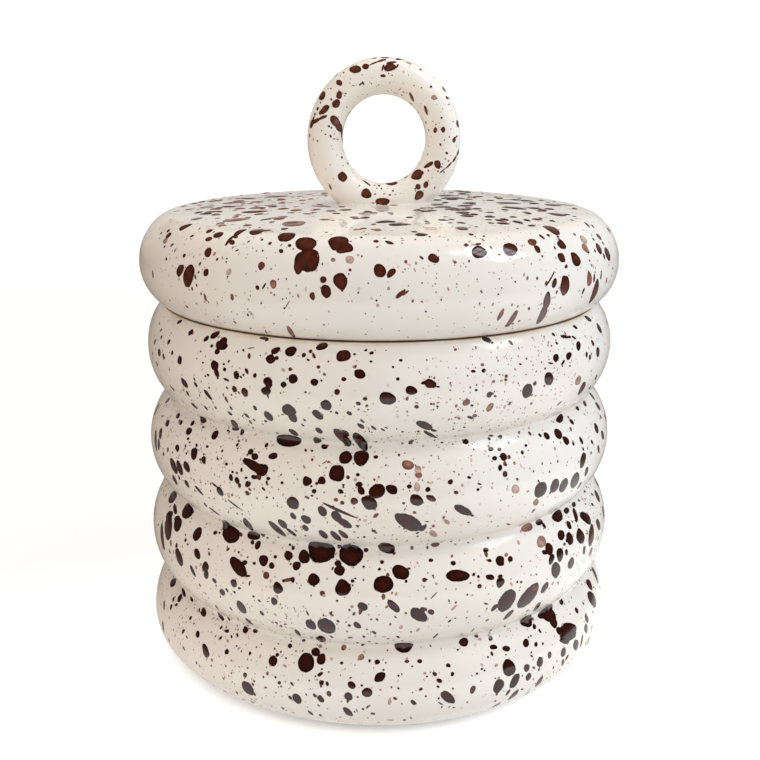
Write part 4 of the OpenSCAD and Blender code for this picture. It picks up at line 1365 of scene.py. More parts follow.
# %% Drops of the second bulge
SECOND_BULGE_LEFT_DROPS = [
    (167.4, 400.5, 7.4, 2.4, 52), (194.3, 406, 9, 2.2, -42), (206, 408, 6, 1.8, -50), (231, 408, 5, 2, -55),
    (255, 408, 6, 3, -60), (178, 415.7, 6.4, 3.6, 65), (167.3, 423.2, 7.6, 4, 75), (181, 422.5, 5.6, 3, 66),
    (192.5, 423.2, 6.6, 3.2, 58), (162.3, 416.2, 3.4, 1.5, 50), (188.7, 431.3, 8.2, 5.6, 62),
    (203.2, 419.2, 9, 6.2, -45), (188.1, 438.7, 3.5, 3), (189.7, 442.3, 2.8, 2),
    (160.4, 433.5, 11.6, 3.2, 83), (155.5, 440, 20, 2.6, 92), (158.6, 444.5, 11, 2.4, 90),
    (167.8, 449.7, 5, 1.9, 85), (163.4, 453.8, 4.6, 1.6, 95), (177.3, 448.2, 7.6, 4, 95),
    (185.5, 446, 3.6, 1.7, 85), (186.3, 453.5, 2.8, 1.7, 80), (194, 453.8, 12, 7, 84),
    (196.5, 445.2, 4, 2.4, 85), (207.2, 446.5, 3.4, 2.6, 100), (203.7, 460, 7.8, 4.6, 92),
    (203.8, 454.1, 2.4, 2), (215, 434.8, 10.2, 6.2, 62), (228, 430.7, 2.6, 2.3),
    (234.5, 424.5, 12.5, 5.6, -58), (236, 428.4, 8.4, 4.4), (242.5, 431.5, 7, 3.4, 75),
    (230, 413.5, 6, 2.4, -45), (246.5, 415.5, 7.6, 2.4, -42), (250.5, 422.2, 4.6, 1.9, -48),
    (254, 420, 3.6, 1.5, -40), (265.5, 421.2, 3.7, 2, -30), (268.5, 416.2, 12.6, 6.2, -50),
    (289, 410.5, 15, 11, -35), (292.5, 417, 13, 7.5, -60), (289, 439.5, 25, 14, -5),
    (293.5, 432.5, 11, 4.6, -35), (237.3, 444.8, 4.2, 2.6, 65), (266.5, 445, 4.8, 3.6, 55),
    (250.5, 451.8, 6.4, 5.4, 40), (254.8, 456.5, 7.4, 6.8), (273, 456, 9.6, 6.6, 15),
    (253.5, 465.5, 24, 9.5, -32), (261.5, 469.8, 13.5, 12.5), (247, 462, 9, 6.6, -20),
    (254.5, 477, 7, 4.5, -10), (226.5, 464.1, 3.2, 3.2), (217.5, 458.8, 2.6, 1.9, 60),
    (232.5, 472, 3, 2.6, 90), (236.8, 472.8, 2.6, 2.6), (241.5, 469.8, 4.6, 2.4, 85, 0.9),
    (231, 477.8, 7.6, 4, 102), (237, 480.5, 7.6, 4.6, 105), (239.5, 485.5, 4.5, 3.2, 100),
    (246, 477.8, 3.4, 2.6), (247.8, 484.2, 7, 5.4, 70), (268.2, 478.5, 4, 3.6),
    (266.8, 482.2, 4.6, 2.2, 80), (282, 482.8, 3.2, 3.1), (247.3, 493.2, 5.2, 3.8, 115, 0.7),
    (266.8, 497.5, 2.8, 2.6), (263.5, 489, 5, 2.2, -45, 0.6), (293, 503.2, 14.2, 11, -48),
    (293.2, 516.2, 8, 4.8, -52), (220, 491.5, 10.2, 5.6, -62), (214.5, 485, 8.4, 2, -40, 0.6),
    (199, 490.5, 12.8, 2.4, -48), (187, 484.2, 9.2, 3, -63), (186.5, 466.7, 11.8, 5.6, -68),
    (173.5, 466, 17, 5.4, -70), (179.5, 468, 16, 5, -72), (174.7, 480, 10.6, 3, -66, 0.7),
    (179.2, 477.8, 5, 1.7, -68), (234.2, 504.6, 17, 1.7, -37), (214.5, 511.5, 15, 1.4, -37),
    (205.5, 505, 5.4, 1.8, -55), (172.5, 497, 15, 9, 80), (175, 509, 14, 4, -80), (169, 516, 12, 7, 80),
    (177, 518.5, 9, 6), (187.5, 511.5, 16, 12, 65),
]
SECOND_BULGE_MIDDLE_DROPS = [
    (317.8, 415, 13.4, 7, -40), (304.5, 420, 4, 1.8, -35), (302.5, 425, 4.6, 1.7, -38),
    (319, 430.7, 8.6, 4.6, -35), (317.3, 439.7, 8.6, 5.4, -22), (324.5, 447, 6.2, 5, -10),
    (336.5, 412.8, 3.8, 2.6, -25), (349.3, 413.3, 5.8, 3.8, -30), (342.2, 437, 22, 8.4, -40),
    (345, 433.5, 9, 6, -30), (360.2, 440.3, 19.5, 8, -37), (360.7, 426, 9, 3.9, -32),
    (373.5, 427.8, 7, 2.5, -35), (382.8, 429.7, 5.6, 1.8, -32), (386.3, 427.8, 4, 1.7, -20),
    (424.5, 425.5, 18, 7.4, -26), (434, 430.5, 6, 2.6, -10), (430.5, 434.8, 15, 3.6, -27),
    (402.5, 431.7, 2.8, 1.8), (442, 442.5, 3.4, 1.5), (345.5, 457.5, 13.8, 12.6, 50),
    (361.2, 457.8, 16, 15.6, 90), (336.8, 473.2, 16.8, 16.4), (375.8, 457, 5, 3.6),
    (307, 481, 10, 9, 100), (321.7, 480.5, 8.2, 7.8, 90), (314, 491.2, 4.9, 4.7, -30),
    (311.5, 486.2, 2.6, 2.4), (316.7, 483.5, 3.4, 3, 0, 0.9), (348, 477.2, 4.2, 3.6, -50),
    (357.8, 474.7, 3.9, 3.7), (343.3, 485, 2.8, 2.6), (359, 484.5, 7.4, 5.6),
    (361, 490.5, 9.5, 6.4, -55), (377, 491.2, 16, 15.2, 40), (391.5, 489.3, 12.4, 9.4, -28),
    (369.3, 502.8, 17.4, 13, -38), (340.8, 491.5, 6, 4.6, -25), (335.8, 499.8, 4.2, 4, 0, 0.45),
    (342.3, 502.8, 4.4, 4, -30, 0.75), (354.3, 501.2, 7.6, 7, 0, 0.7), (340, 511, 39, 3, -24),
    (322.3, 511.2, 11.4, 8, -48), (336.5, 516.5, 13, 8.6, -48), (409.2, 486.5, 5, 4.4, -10),
    (417, 487, 10, 6, 90, 0.13), (408, 465, 12.4, 9.4, -20, 0.35), (418, 470, 8, 7, 90, 0.15),
    (418.5, 475, 7.4, 6.4, 0, 0.4), (428, 489.5, 5.8, 4.6, 35), (450.5, 481.8, 5.8, 4.8, 60),
    (456.2, 492.5, 5, 3.6, -15, 0.6), (416.7, 500.3, 14.4, 10.8, -30), (431, 498.2, 9.8, 6.2, -22, 0.8),
    (403.5, 503.2, 3.4, 2.6, -10), (376, 515.5, 7, 3, 35, 0.6), (399, 455, 3.2, 2.6, 90, 0.7),
    (305.5, 450.2, 2.8, 2.8), (312, 450.8, 2.7, 2.5),
]
SECOND_BULGE_RIGHT_DROPS = [
    (592.3, 396.2, 9, 2.2, -54), (584.8, 403.5, 7.4, 3.2, -72), (598, 406, 9.5, 2.8, -60),
    (577.5, 408.5, 5, 3, -60), (470.7, 417.7, 6.8, 2.8, -20), (464.3, 427.3, 3.4, 1.4),
    (465.5, 441.8, 6, 5.4), (490.8, 435.6, 4.7, 2), (500, 437, 4.3, 4), (491, 449, 5.4, 4.6),
    (499.3, 449.3, 4, 3.8, 0, 0.6), (503.5, 456.7, 8.4, 7, 110), (494.5, 458.3, 5, 4.8),
    (500.2, 467.7, 6.4, 4.4, 85), (505.8, 464.8, 2.9, 2.8), (505, 474, 6, 5.2, 100, 0.65),
    (469.2, 477.5, 4.4, 2.7, -15), (478, 489.7, 3.2, 3.2), (479.5, 484, 4.4, 2, -15, 0.7),
    (463.5, 510.5, 19, 8.4, -28), (472, 515.5, 4, 2.4, -10), (515.5, 489, 9, 8, 90, 0.15),
    (525.8, 445.5, 3, 3), (522.3, 452.5, 4.6, 3, 100), (529.8, 433.5, 5, 2.4, -60),
    (540, 435.2, 4.6, 2.7, -52), (546.7, 435.8, 8.2, 5.2, -55), (558.2, 433.7, 11.4, 7.2, -62),
    (566, 440.5, 9.6, 5.4, -60), (559.8, 418.5, 10.8, 6.6, 64), (571.7, 421.7, 7, 3.2, -55),
    (596.5, 428.2, 11.4, 3.6, -74), (602.7, 435, 10, 2.8, -80), (605.5, 417.5, 9.6, 1.8, -70),
    (600.7, 416.7, 4.8, 2, -60), (581.3, 440.5, 8.2, 2.8, -68), (592, 442, 5.2, 2.2, -65),
    (598.5, 449, 8, 2, 92), (573.3, 443.7, 4.2, 2.2, -70), (583.3, 449, 3.8, 1.7, -80),
    (591.1, 453, 3, 1.8, 90), (583, 460.5, 16.2, 5.4, 80), (586.5, 471.7, 10.2, 3, 76),
    (575.2, 480.5, 17, 7.6, 70), (563.8, 485.5, 15.4, 7.2, 68), (554.8, 486, 15.2, 7.8, 66),
    (550.5, 492.5, 4, 1.8, 50), (540.8, 490, 17, 11.4, 64), (538.5, 481, 3.4, 1.8, -55),
    (579.5, 485.5, 8.4, 1.8, 60), (536, 502.5, 7, 5, 60, 0.3), (533.2, 511, 5.4, 2, 50, 0.8),
    (573.8, 504.5, 7, 4.4, 65), (579, 500.5, 3.4, 2.8), (575.5, 515, 15, 4, -75),
    (596.8, 483, 10, 2, -62), (597.5, 496, 13, 3.4, -68), (592.5, 504.5, 4.2, 2.2, -55),
    (603.5, 512, 13, 1.8, -82), (584.7, 491.5, 4, 1.7, 90),
]
SECOND_BULGE_DROPS = SECOND_BULGE_LEFT_DROPS + SECOND_BULGE_MIDDLE_DROPS + SECOND_BULGE_RIGHT_DROPS
print(f"{len(SECOND_BULGE_DROPS)} drops read")

# %% Drops of the third bulge
THIRD_BULGE_LEFT_DROPS = [
    (168, 528, 25, 7.8, 87), (177.5, 524.5, 15, 7.8, 80), (162, 536.5, 27, 3.4, -85, 0.9),
    (170.9, 543.2, 6.5, 1.5, 92, 0.8), (176.5, 545.5, 5.5, 2.4, 85), (179, 557.5, 19, 6, -74),
    (197.3, 533.8, 14.8, 8.2, 68), (185.5, 540, 4.4, 2.2, 75), (185.5, 534.8, 2.6, 1.4, 75),
    (187.7, 544.2, 2.5, 2.3), (197.1, 553.8, 11.2, 5.8, -74), (215.2, 532.8, 4.8, 3.6, 50),
    (219.5, 532.8, 2.4, 2.2), (208.8, 549.1, 2.1, 2), (205.3, 566.5, 10, 7, 90),
    (206.2, 574.5, 9, 4.8, 88), (192.7, 571, 12.4, 3, -67), (214.3, 580.7, 6.2, 3.2, -55),
    (231, 534.3, 18.4, 17), (226.3, 523.5, 12, 7.4, -80), (248, 525, 16, 5.4, -50),
    (254, 535.3, 13, 9.6, -5), (252.5, 542.3, 4.6, 4, 80), (262.8, 535, 4.8, 2.6, -40, 0.8),
    (267.6, 537.8, 2.5, 2.4), (257.8, 545, 8.8, 5.8, 65), (277.3, 529.5, 23.5, 5.6, -42),
    (282.5, 524, 12, 6, -45), (291.3, 532.3, 13, 3.2, -37), (263.5, 560.5, 11.4, 9.4, 90),
    (254.2, 563.3, 3.3, 3.2), (275.2, 556.8, 3.7, 3.6), (271.7, 565.5, 7, 5.6, 90),
    (266.2, 575.3, 7.4, 6.2, 90, 0.55), (288.5, 555.5, 9.6, 8.8, 90), (296.3, 566, 8.8, 8, 70),
    (293.2, 548, 4.4, 3.4, 80), (290, 544.8, 2.8, 2.8), (238, 566.8, 24, 12, -52),
    (244.5, 562.5, 6, 4.5), (247.5, 576, 6, 2.6, 0, 0.8), (238.8, 552.2, 2.6, 2.4),
    (228, 549.3, 4.4, 2.4, 40, 0.7), (233.8, 583.3, 8.6, 6, 105), (222.3, 592.3, 7.6, 4.8, -60),
    (227, 590.3, 5, 2, -55), (234.5, 592.2, 3.5, 1.8, -58), (239.3, 588.2, 3.4, 2.4, -10, 0.8),
    (277.7, 587.8, 12.4, 9.4, 110), (274.1, 601.2, 8.2, 6, 112), (292.7, 579.8, 5.6, 4.8, 100),
    (283.5, 580.7, 3.2, 3), (241.3, 607.5, 14.6, 7.2, -56), (253.5, 596.5, 3, 2, -45),
    (259.3, 600.8, 3.7, 1.8, -35), (173, 582.5, 11, 6, 75), (183.7, 592.5, 12.5, 3.2, -73),
    (179.8, 598, 8.6, 4.2, 68), (173.4, 599.3, 5.5, 2, 75), (176.3, 604.8, 4.4, 2.6, 45),
    (171, 607.2, 6.6, 2.2, 80), (191.7, 599.3, 6.4, 2.8, -66), (203.5, 612.2, 9, 5.6, 90),
    (199.3, 610, 4.2, 1.8, 85), (190.4, 618, 4.2, 2.6, 65), (221, 616.5, 10, 3.4, -56),
    (217, 607.7, 7, 1.7, -56), (228.8, 618.5, 5, 2, -62), (231, 608.8, 4.6, 1.5, -52),
    (261.8, 613.2, 6, 2.8, -48), (249.2, 621.7, 10.4, 2.3, -42), (276.5, 623, 4.4, 1.5, -38),
    (164, 605.2, 9.5, 1.8, 88, 0.6), (163, 627, 12, 1.8, -82),
]
THIRD_BULGE_MIDDLE_DROPS = [
    (306, 519.5, 11, 7.5, -35), (305.3, 528, 8, 5, -42), (323.3, 534.5, 11.6, 5.6, -42),
    (321.5, 551.5, 27, 23), (304, 556.5, 14, 11.5, 90), (332, 556.5, 5, 4.4),
    (298.5, 565, 7, 4.5, 90), (351, 554.7, 25, 21.5), (366, 550, 4.6, 4.4), (339.5, 546.2, 4.5, 4),
    (338, 563.5, 7, 7), (339.5, 570.5, 11, 10.5), (313.5, 579.5, 12.6, 12, 90),
    (342.8, 587.7, 16.6, 16, 90), (383.5, 584.3, 19.2, 18.6, -20), (400.5, 572.2, 18, 14.4, -28),
    (386.5, 546.3, 17.5, 10.6, -22), (335.8, 536.3, 14.6, 5.4, -42), (343.2, 534.4, 12.4, 4.8, -40, 0.75),
    (344, 523, 18, 7, -32), (357.5, 526.2, 3.7, 2.4, -35, 0.9), (373.7, 531, 5, 2.8, -22),
    (364.3, 537, 2.9, 2), (408.5, 522.5, 31, 14.5, -28), (423.3, 528, 9, 4.6, 48),
    (417.5, 533, 4, 1.8, 20), (382, 562, 4.2, 3.9), (379.3, 569.2, 3.3, 3.1, 30),
    (363.7, 566.7, 3, 2.9), (352.5, 581, 4, 3.6), (355.2, 578.5, 2.8, 2),
    (322.3, 593.5, 5.8, 5, 90, 0.65), (337, 600.8, 2.8, 2.6), (362.5, 606.7, 10.4, 8.4, -38),
    (393.5, 606.2, 16, 7.8, -46, 0.9), (406.2, 581.3, 3.4, 2.8, 90), (433, 575.8, 2.4, 2.3),
    (424.3, 579.9, 4.5, 4.5, 0, 0.7), (431, 560.2, 4.9, 3.6), (453.2, 563.2, 5.6, 4.6),
    (435, 544.3, 8.8, 4.8, 10, 0.6), (433.5, 534, 9.6, 5.6, -40, 0.2), (447, 522, 7, 4, -35, 0.2),
    (458, 575.8, 23, 12.6, 3), (419, 615.3, 18.6, 12, -32), (422.8, 609.7, 6, 5.4),
    (431, 612, 6.6, 5.6, -20, 0.85), (434, 595.5, 10, 1.3, 46, 0.5), (455.8, 602.5, 2.9, 2.1, 45),
    (449.5, 621.2, 4.4, 2, 35, 0.85), (377, 619.5, 3.5, 2.1, -35), (338, 621.2, 3.4, 2.4, -30),
    (349.3, 625.5, 3.4, 2.8, -25), (357.5, 625.5, 8.6, 5.4, -38, 0.9), (354, 613.8, 4.2, 2.6, 50, 0.7),
    (330.7, 613.5, 4.2, 2.6, -50, 0.8), (307.5, 613.2, 6, 1.9, -62, 0.8), (311, 625, 13, 8, -42),
    (326.5, 626.5, 20, 14, -32),
]
THIRD_BULGE_RIGHT_DROPS = [
    (485.8, 550.2, 6, 5.6, 90), (489.2, 560.5, 5.6, 3, -10), (500.2, 560.8, 10.8, 8.8, 90),
    (510.3, 559, 6.2, 5, 90), (468.5, 522.5, 2.6, 2), (473.8, 574.5, 3.4, 3.3),
    (478.4, 576.5, 3.2, 2.8, 90), (479.6, 586.2, 4.8, 4.4, 60, 0.85), (490.2, 577.3, 9, 5.6, -8),
    (500.2, 582.8, 10.4, 8, 70), (500.4, 576.6, 5, 4.4), (517.3, 582, 3, 2.2, 75),
    (521.2, 582, 2.6, 2.6), (508.5, 524.3, 6.8, 1.8, -15, 0.6), (507, 601, 27, 14, 57),
    (494.5, 607.8, 9.6, 4, 50), (508.5, 615, 13.6, 3.8, 45, 0.85), (485.8, 603.7, 4.2, 2, -20),
    (528.5, 596.5, 31, 12, 52), (534.5, 588, 10, 10, 0, 0.7), (544.8, 587.8, 12.6, 5.2, 60, 0.85),
    (526.5, 527.5, 12, 8.6, 30, 0.35), (541.5, 541.5, 12.4, 9.4, 95, 0.22), (539, 522, 8, 6.6),
    (544, 525.5, 6.5, 3, -65), (557.5, 516, 14, 11, 70), (566.5, 510.5, 8, 6, 55), (569, 525, 9, 4.6, -65),
    (586, 518, 17, 8, -45), (549.2, 549, 13, 7.6, 100), (545, 552.3, 6.5, 4.6, -10),
    (551.5, 559.5, 11, 5.4, 75), (561.2, 535.2, 10.6, 7, 105), (569.8, 538.5, 13, 7, 100),
    (566.5, 540.5, 4, 2, 90), (580.5, 536, 15.5, 8.2, 100), (591.5, 535, 23.5, 5.2, 84, 0.9),
    (598.5, 524.5, 12, 3.8, 100, 0.85), (560, 555, 13.2, 7.2, 92), (556, 570.2, 16.6, 8.8, 92),
    (566.5, 552.3, 6.6, 3, 92), (571.2, 563, 12, 5.8, 72, 0.85), (584.2, 550.5, 8.6, 2.8, 86, 0.8),
    (590.8, 552, 9, 2.8, 72, 0.5), (595.5, 574.8, 18, 2.6, -68), (589.5, 584.5, 12, 4.8, -66, 0.9),
    (592.5, 599.3, 17.8, 7, -68), (561.5, 602, 6.4, 3.6, 90), (537, 607, 12, 3.2, 52),
    (525.8, 619.3, 15.6, 10.6, 78), (545.5, 611.5, 19, 9.5, 42), (548.5, 614.5, 19, 13, -40),
    (553, 621, 15, 7.5, -68), (534.3, 626.5, 6, 3.6, 105), (576.7, 610.5, 6.6, 3.2, -70),
    (586.8, 618.5, 8.6, 3.6, -75, 0.8), (586, 627.5, 8, 3.4, 88, 0.7),
]
THIRD_BULGE_DROPS = THIRD_BULGE_LEFT_DROPS + THIRD_BULGE_MIDDLE_DROPS + THIRD_BULGE_RIGHT_DROPS
print(f"{len(THIRD_BULGE_DROPS)} drops read")

# %% Drops of the low bulge
LOW_BULGE_LEFT_DROPS = [
    (245.5, 629.8, 7, 5.8, 90), (255.3, 630.8, 4.8, 4.4), (227, 631, 4.2, 4),
    (224.8, 630.8, 2, 1.8), (221.2, 627.5, 4.6, 2.2, 55), (220.6, 637.8, 2.8, 2.6),
    (231.5, 636.5, 3.6, 1.9, -75), (237.3, 635, 4.2, 2.3, -75), (197.7, 634.2, 7.2, 4, 88),
    (183.2, 631.5, 5.4, 2.6, 65), (186.8, 637.2, 3.4, 1.4, -65), (168.8, 640.5, 5, 1.3, -85),
    (205.5, 650.8, 14.8, 6, -73), (183.8, 648.5, 4.8, 1.5, -62), (226.8, 651.8, 5.6, 4.3, 90),
    (250, 653.5, 4.3, 2.6, 85), (236.6, 646, 2.2, 1.8), (256.5, 647.2, 1.8, 1.7),
    (273, 660.8, 11, 8.8, 95), (277.3, 654.8, 4, 3.6, 60), (280.8, 652, 2.3, 2.1),
    (290, 645.8, 5, 4.2, 90), (278.3, 643.8, 1.9, 1.8), (296, 651, 2, 1.8), (286, 658.2, 2.2, 2.2),
    (225.8, 666.2, 2.3, 1.9), (196.5, 662.8, 2.9, 1.5, -70), (231.3, 673, 3, 1.3, -65, 0.6),
    (245.1, 675.2, 5.3, 3.9, -75), (247.8, 688.5, 17.5, 9, -58), (254, 681, 3.4, 1.7, -60),
    (252.8, 684.2, 4.2, 2, -60), (237, 693, 4.2, 1.7, -58), (225, 691.2, 5, 1.5, -45),
    (244, 700, 5, 1.5, -35), (252.5, 702.6, 5, 1.8, -45), (263.5, 677, 3, 2, -65),
    (275.5, 677.2, 3, 2.3, -65), (279.3, 682.8, 3.8, 3.4, 60), (281.2, 686.5, 2.7, 1.6, -55),
    (292, 684, 4.8, 2.2, -50), (290, 697.5, 4.8, 2.9, -55), (297, 698.8, 12, 7.6, -52),
    (282.7, 708.3, 4, 1.6, -38), (297.8, 633, 10, 3.2, -50), (281, 626, 3, 2, -20),
]
LOW_BULGE_MIDDLE_DROPS = [
    (321.3, 639.2, 11.4, 9.4, -55), (303.7, 640.3, 3.8, 3.2, 20), (331.5, 636.8, 4.2, 1.7, -35),
    (315.8, 652, 9.2, 8.6, -30), (321.3, 659, 11.6, 9, 80), (306, 662.5, 20.4, 16.4, 95),
    (341.6, 663, 3.4, 3.2), (321.8, 669.2, 2.2, 2.1), (328.8, 672, 2, 1.6),
    (320.2, 674.2, 6.8, 3.5, 32), (321.5, 683, 6, 4.8, 80, 0.9), (321.2, 686.4, 2.8, 2.2, 80),
    (327.3, 683.8, 5, 3.1, -75), (329, 693.8, 6, 4.8, -70, 0.6), (314.8, 695.5, 4.8, 3, -50),
    (320.8, 699, 8.6, 5.4, -48), (306.2, 694.5, 2.8, 1.4, -55, 0.7), (318.5, 705.5, 3.8, 1.6, -35, 0.6),
    (310.5, 713, 7.6, 2.4, -40), (320.5, 715.5, 3.8, 2, -35), (343.8, 647.5, 6, 5, 60, 0.35),
    (361.5, 657, 6.6, 5.6, 60, 0.25), (357.5, 643, 3.2, 2.5), (353.8, 643.3, 2, 1.8),
    (362.8, 644.5, 3.8, 2.4, 30, 0.8), (364, 636.7, 3.4, 2.2, -20), (367, 629.3, 2.4, 1.4, -25),
    (374, 632.5, 5.6, 2.6, -30), (347, 631.5, 2.4, 1.5, -20), (377.3, 661.8, 5.3, 5.1),
    (369.6, 660.8, 3.5, 2.6, 90), (380, 677, 12.6, 8.8, 35), (403.5, 646, 18, 12, -5),
    (411, 645, 5, 2.6, 10), (398, 637, 3.9, 2.2, -18), (435.5, 636, 7.6, 2, 42, 0.85),
    (419.7, 661.2, 5, 4.4), (412.2, 666.3, 2.2, 2), (448.3, 665.5, 5, 4, -20),
    (452.5, 674, 4.8, 3.5, 70), (434.7, 674, 5.2, 3.8, -35, 0.75), (439.3, 680.7, 6, 4.3, -30, 0.9),
    (438, 686.7, 3.4, 2.5, -20, 0.75), (453, 688.7, 2.4, 2.2), (420.8, 689.3, 4.2, 3, 40, 0.75),
    (398.5, 675.7, 2.6, 2.5), (427, 676.5, 2.3, 2.2, 0, 0.8), (391.5, 687.2, 2.2, 2),
    (398.5, 688.5, 2.6, 2.2), (425.8, 696.4, 2.2, 2.1), (351.5, 685, 8.8, 6.8, -45, 0.9),
    (367, 692.5, 10.4, 9.8), (361.8, 685.5, 2.8, 2.6), (348.5, 696.5, 8.8, 7.6, -40, 0.9),
    (347.8, 701.3, 3.4, 2.6, 60), (347.8, 712, 12.4, 6, -42, 0.85), (354.7, 711.8, 2.6, 1.6, -40),
    (367.7, 706.8, 4.6, 1.9, 42, 0.7), (395, 698.5, 4.4, 2.9, -25, 0.7), (413.5, 702.5, 6.8, 4.2, -38),
    (448, 697.5, 17, 9.4, -37), (438.7, 698.5, 3.2, 2, 50), (440.5, 703.5, 6, 1.5, -32),
    (441.8, 707, 2.6, 1.6, 50), (453.8, 707.5, 2.6, 1.8, 0, 0.6), (457.8, 649.8, 2.6, 2.4),
]
LOW_BULGE_RIGHT_DROPS = [
    (463.7, 642, 9.6, 9, 90), (476.3, 636, 4.4, 3.2, -15), (472.8, 630, 4.2, 1.4, 45),
    (490.6, 638.3, 5.3, 4.4, 90), (491, 630, 2.6, 2.4), (504.8, 626.3, 2.4, 2.2),
    (493.5, 647, 7.6, 5.3), (506.3, 648.6, 8, 5.6, -12), (488, 657, 2.2, 2.1),
    (506, 654.8, 1.8, 1.7), (509, 667.8, 17.4, 13, 92), (514.8, 681, 16.4, 7.4, 63),
    (498.5, 686.3, 15.6, 9.4, 65), (472.8, 689.7, 8.6, 5.2, 60, 0.75), (481.8, 669, 2.8, 2.5),
    (484.6, 670.5, 2.3, 2.2), (477, 673.7, 2.7, 2.5, 0, 0.9), (495.2, 678.3, 1.9, 1.8),
    (508, 692.5, 7.6, 2.6, 52, 0.85), (513.3, 695.5, 15, 3.6, 46, 0.75), (495.3, 701, 3, 1.6, 35, 0.5),
    (496, 705.5, 11, 2, 30), (526.8, 668, 8, 5.6, 80), (528.5, 676.8, 8.4, 4.9, 68, 0.9),
    (540, 662, 10.6, 6.2, 80), (539, 669.3, 4, 1.8, 75), (539.2, 682, 13, 3.8, 56, 0.65),
    (526, 643, 8.8, 6.2, 90), (536, 644.3, 4.9, 3.5, 75), (542.8, 643.7, 3.2, 1.9, 88),
    (539.8, 631, 4.8, 2.4, -60), (531, 636, 2.5, 2.2), (531.3, 652.5, 2.6, 1.5, 75),
    (549.7, 655, 7.2, 3.8, 85, 0.9), (553.5, 667.5, 3.2, 1.5, 70, 0.6), (568, 632.5, 22, 19, 60),
    (559.5, 631, 9, 6, -60), (571.5, 630, 14, 11, 80), (565, 640.5, 13, 7, -10),
    (576, 645, 11, 5.4, 85, 0.85), (563.5, 652, 10, 4.8, 80, 0.8), (563, 662.5, 7.4, 2.6, 78, 0.7),
    (567, 657.5, 6.6, 2, 65, 0.7), (586, 629, 8.6, 3.6, -85, 0.7), (581.8, 641, 13.4, 1.9, 79, 0.7),
    (588.2, 642, 10.4, 1.7, 72, 0.6), (527, 693, 8, 1.3, 38, 0.4), (592, 627, 3, 1.3, 90, 0.6),
]
LOW_BULGE_DROPS = LOW_BULGE_LEFT_DROPS + LOW_BULGE_MIDDLE_DROPS + LOW_BULGE_RIGHT_DROPS
print(f"{len(LOW_BULGE_DROPS)} drops read")

# %% [markdown]
# ## Drops round the sides and the back
# The photograph shows less than half of the jar. The rest got the same flicks of the brush, so random drops
# of the same sizes cover it, gathered in loose patches. A fine mist of specks and flecks, too small to read
# one by one and many of them pale, goes all the way round.

# %% Random places
FRONT = -np.pi / 2
SEEN_HALF_TURN = np.radians(76)
TRIES = 12
PATCHES, PATCH_REACH = 14, 22 * MM
THINNEST, THICKEST = 0.35, 1.6


def scattered(count, outline, low, high, hidden, rng):
    """Places on a turned surface, even by area but thinned by a few soft patches: bearing and run. Where
    hidden is set, only those that the photograph doesn't show are kept."""
    run_at = walk(outline)
    tries = count * TRIES
    run = rng.uniform(low, high, tries)
    radius = np.interp(run, run_at, outline[:, 0])
    bearing = rng.uniform(-np.pi, np.pi, tries)
    keep = rng.uniform(0, 1, tries) < radius / outline[:, 0].max()
    hot_bearing = rng.uniform(-np.pi, np.pi, PATCHES)
    hot_run = rng.uniform(low, high, PATCHES)
    aside = np.angle(np.exp(1j * (bearing[:, None] - hot_bearing))) * radius[:, None]
    away = np.hypot(aside, run[:, None] - hot_run)
    thick = THINNEST + np.exp(-((away / PATCH_REACH) ** 2)).sum(axis=1)
    keep &= rng.uniform(0, 1, tries) < thick / THICKEST
    if hidden:
        keep &= np.abs(np.angle(np.exp(1j * (bearing - FRONT)))) > SEEN_HALF_TURN
    return np.column_stack([bearing, run])[keep][:count]


print(f"{2 * np.degrees(SEEN_HALF_TURN):.0f} degrees of the jar are left to the photograph's drops")

# %% Random drops
GHOST_SHARE, GHOST_DEPTH = 0.12, 0.3
WIDEST = 3.2
OVAL_SHAPE = (1.4, 0.28)
LEAN_SPREAD = 0.8
TONE_MIDDLE, TONE_SPREAD, TONE_LOW, TONE_HIGH = 0.95, 0.2, 0.3, 1.15
FLICK_TAPER = 0.2
HIDDEN_SIZES = {"broad": (3.6 * MM, 0.32), "round": (1.6 * MM, 0.32), "fine": (0.8 * MM, 0.2)}


def leaning(length, width, lean):
    """Two axes of each drop: half its length and half its width, turned by its lean from level."""
    cosine, sine = np.cos(lean), np.sin(lean)
    rows = [[cosine * length / 2, -sine * width / 2], [sine * length / 2, cosine * width / 2]]
    return np.moveaxis(np.array(rows), 2, 0)


def random_drops(
    grid, centre, patch, stretch_at, size, spread, depth, rng, ghosts=GHOST_SHARE, dome=WALL_DOME
):
    """A batch of random drops: log-normal sizes about a middle size, oval, mostly leaning up."""
    count = len(centre)
    width = np.minimum(size * np.exp(rng.normal(0, spread, count)), WIDEST * size)
    length = width * (1 + rng.gamma(*OVAL_SHAPE, count))
    lean = rng.normal(np.pi / 2, LEAN_SPREAD, count)
    tone = depth * np.clip(rng.normal(TONE_MIDDLE, TONE_SPREAD, count), TONE_LOW, TONE_HIGH)
    tone[rng.uniform(0, 1, count) < ghosts] *= GHOST_DEPTH
    taper = rng.normal(0, FLICK_TAPER, count)
    axes = leaning(length, width, lean)
    return lay_drops(grid, patch, centre, stretch_at(centre), axes, taper, tone, rng, dome)


def hidden_drops(outline, patch, stretch_at, low, high, counts, depth, rng):
    """Batches of broad, round and fine drops over the side that the photograph doesn't show."""
    batches = []
    for count, (grid, (size, spread)) in zip(counts, HIDDEN_SIZES.items()):
        centre = scattered(count, outline, low, high, True, rng)
        batches.append(random_drops(grid, centre, patch, stretch_at, size, spread, depth, rng))
    return batches


print(f"one random drop in {1 / GHOST_SHARE:.0f} is pale")

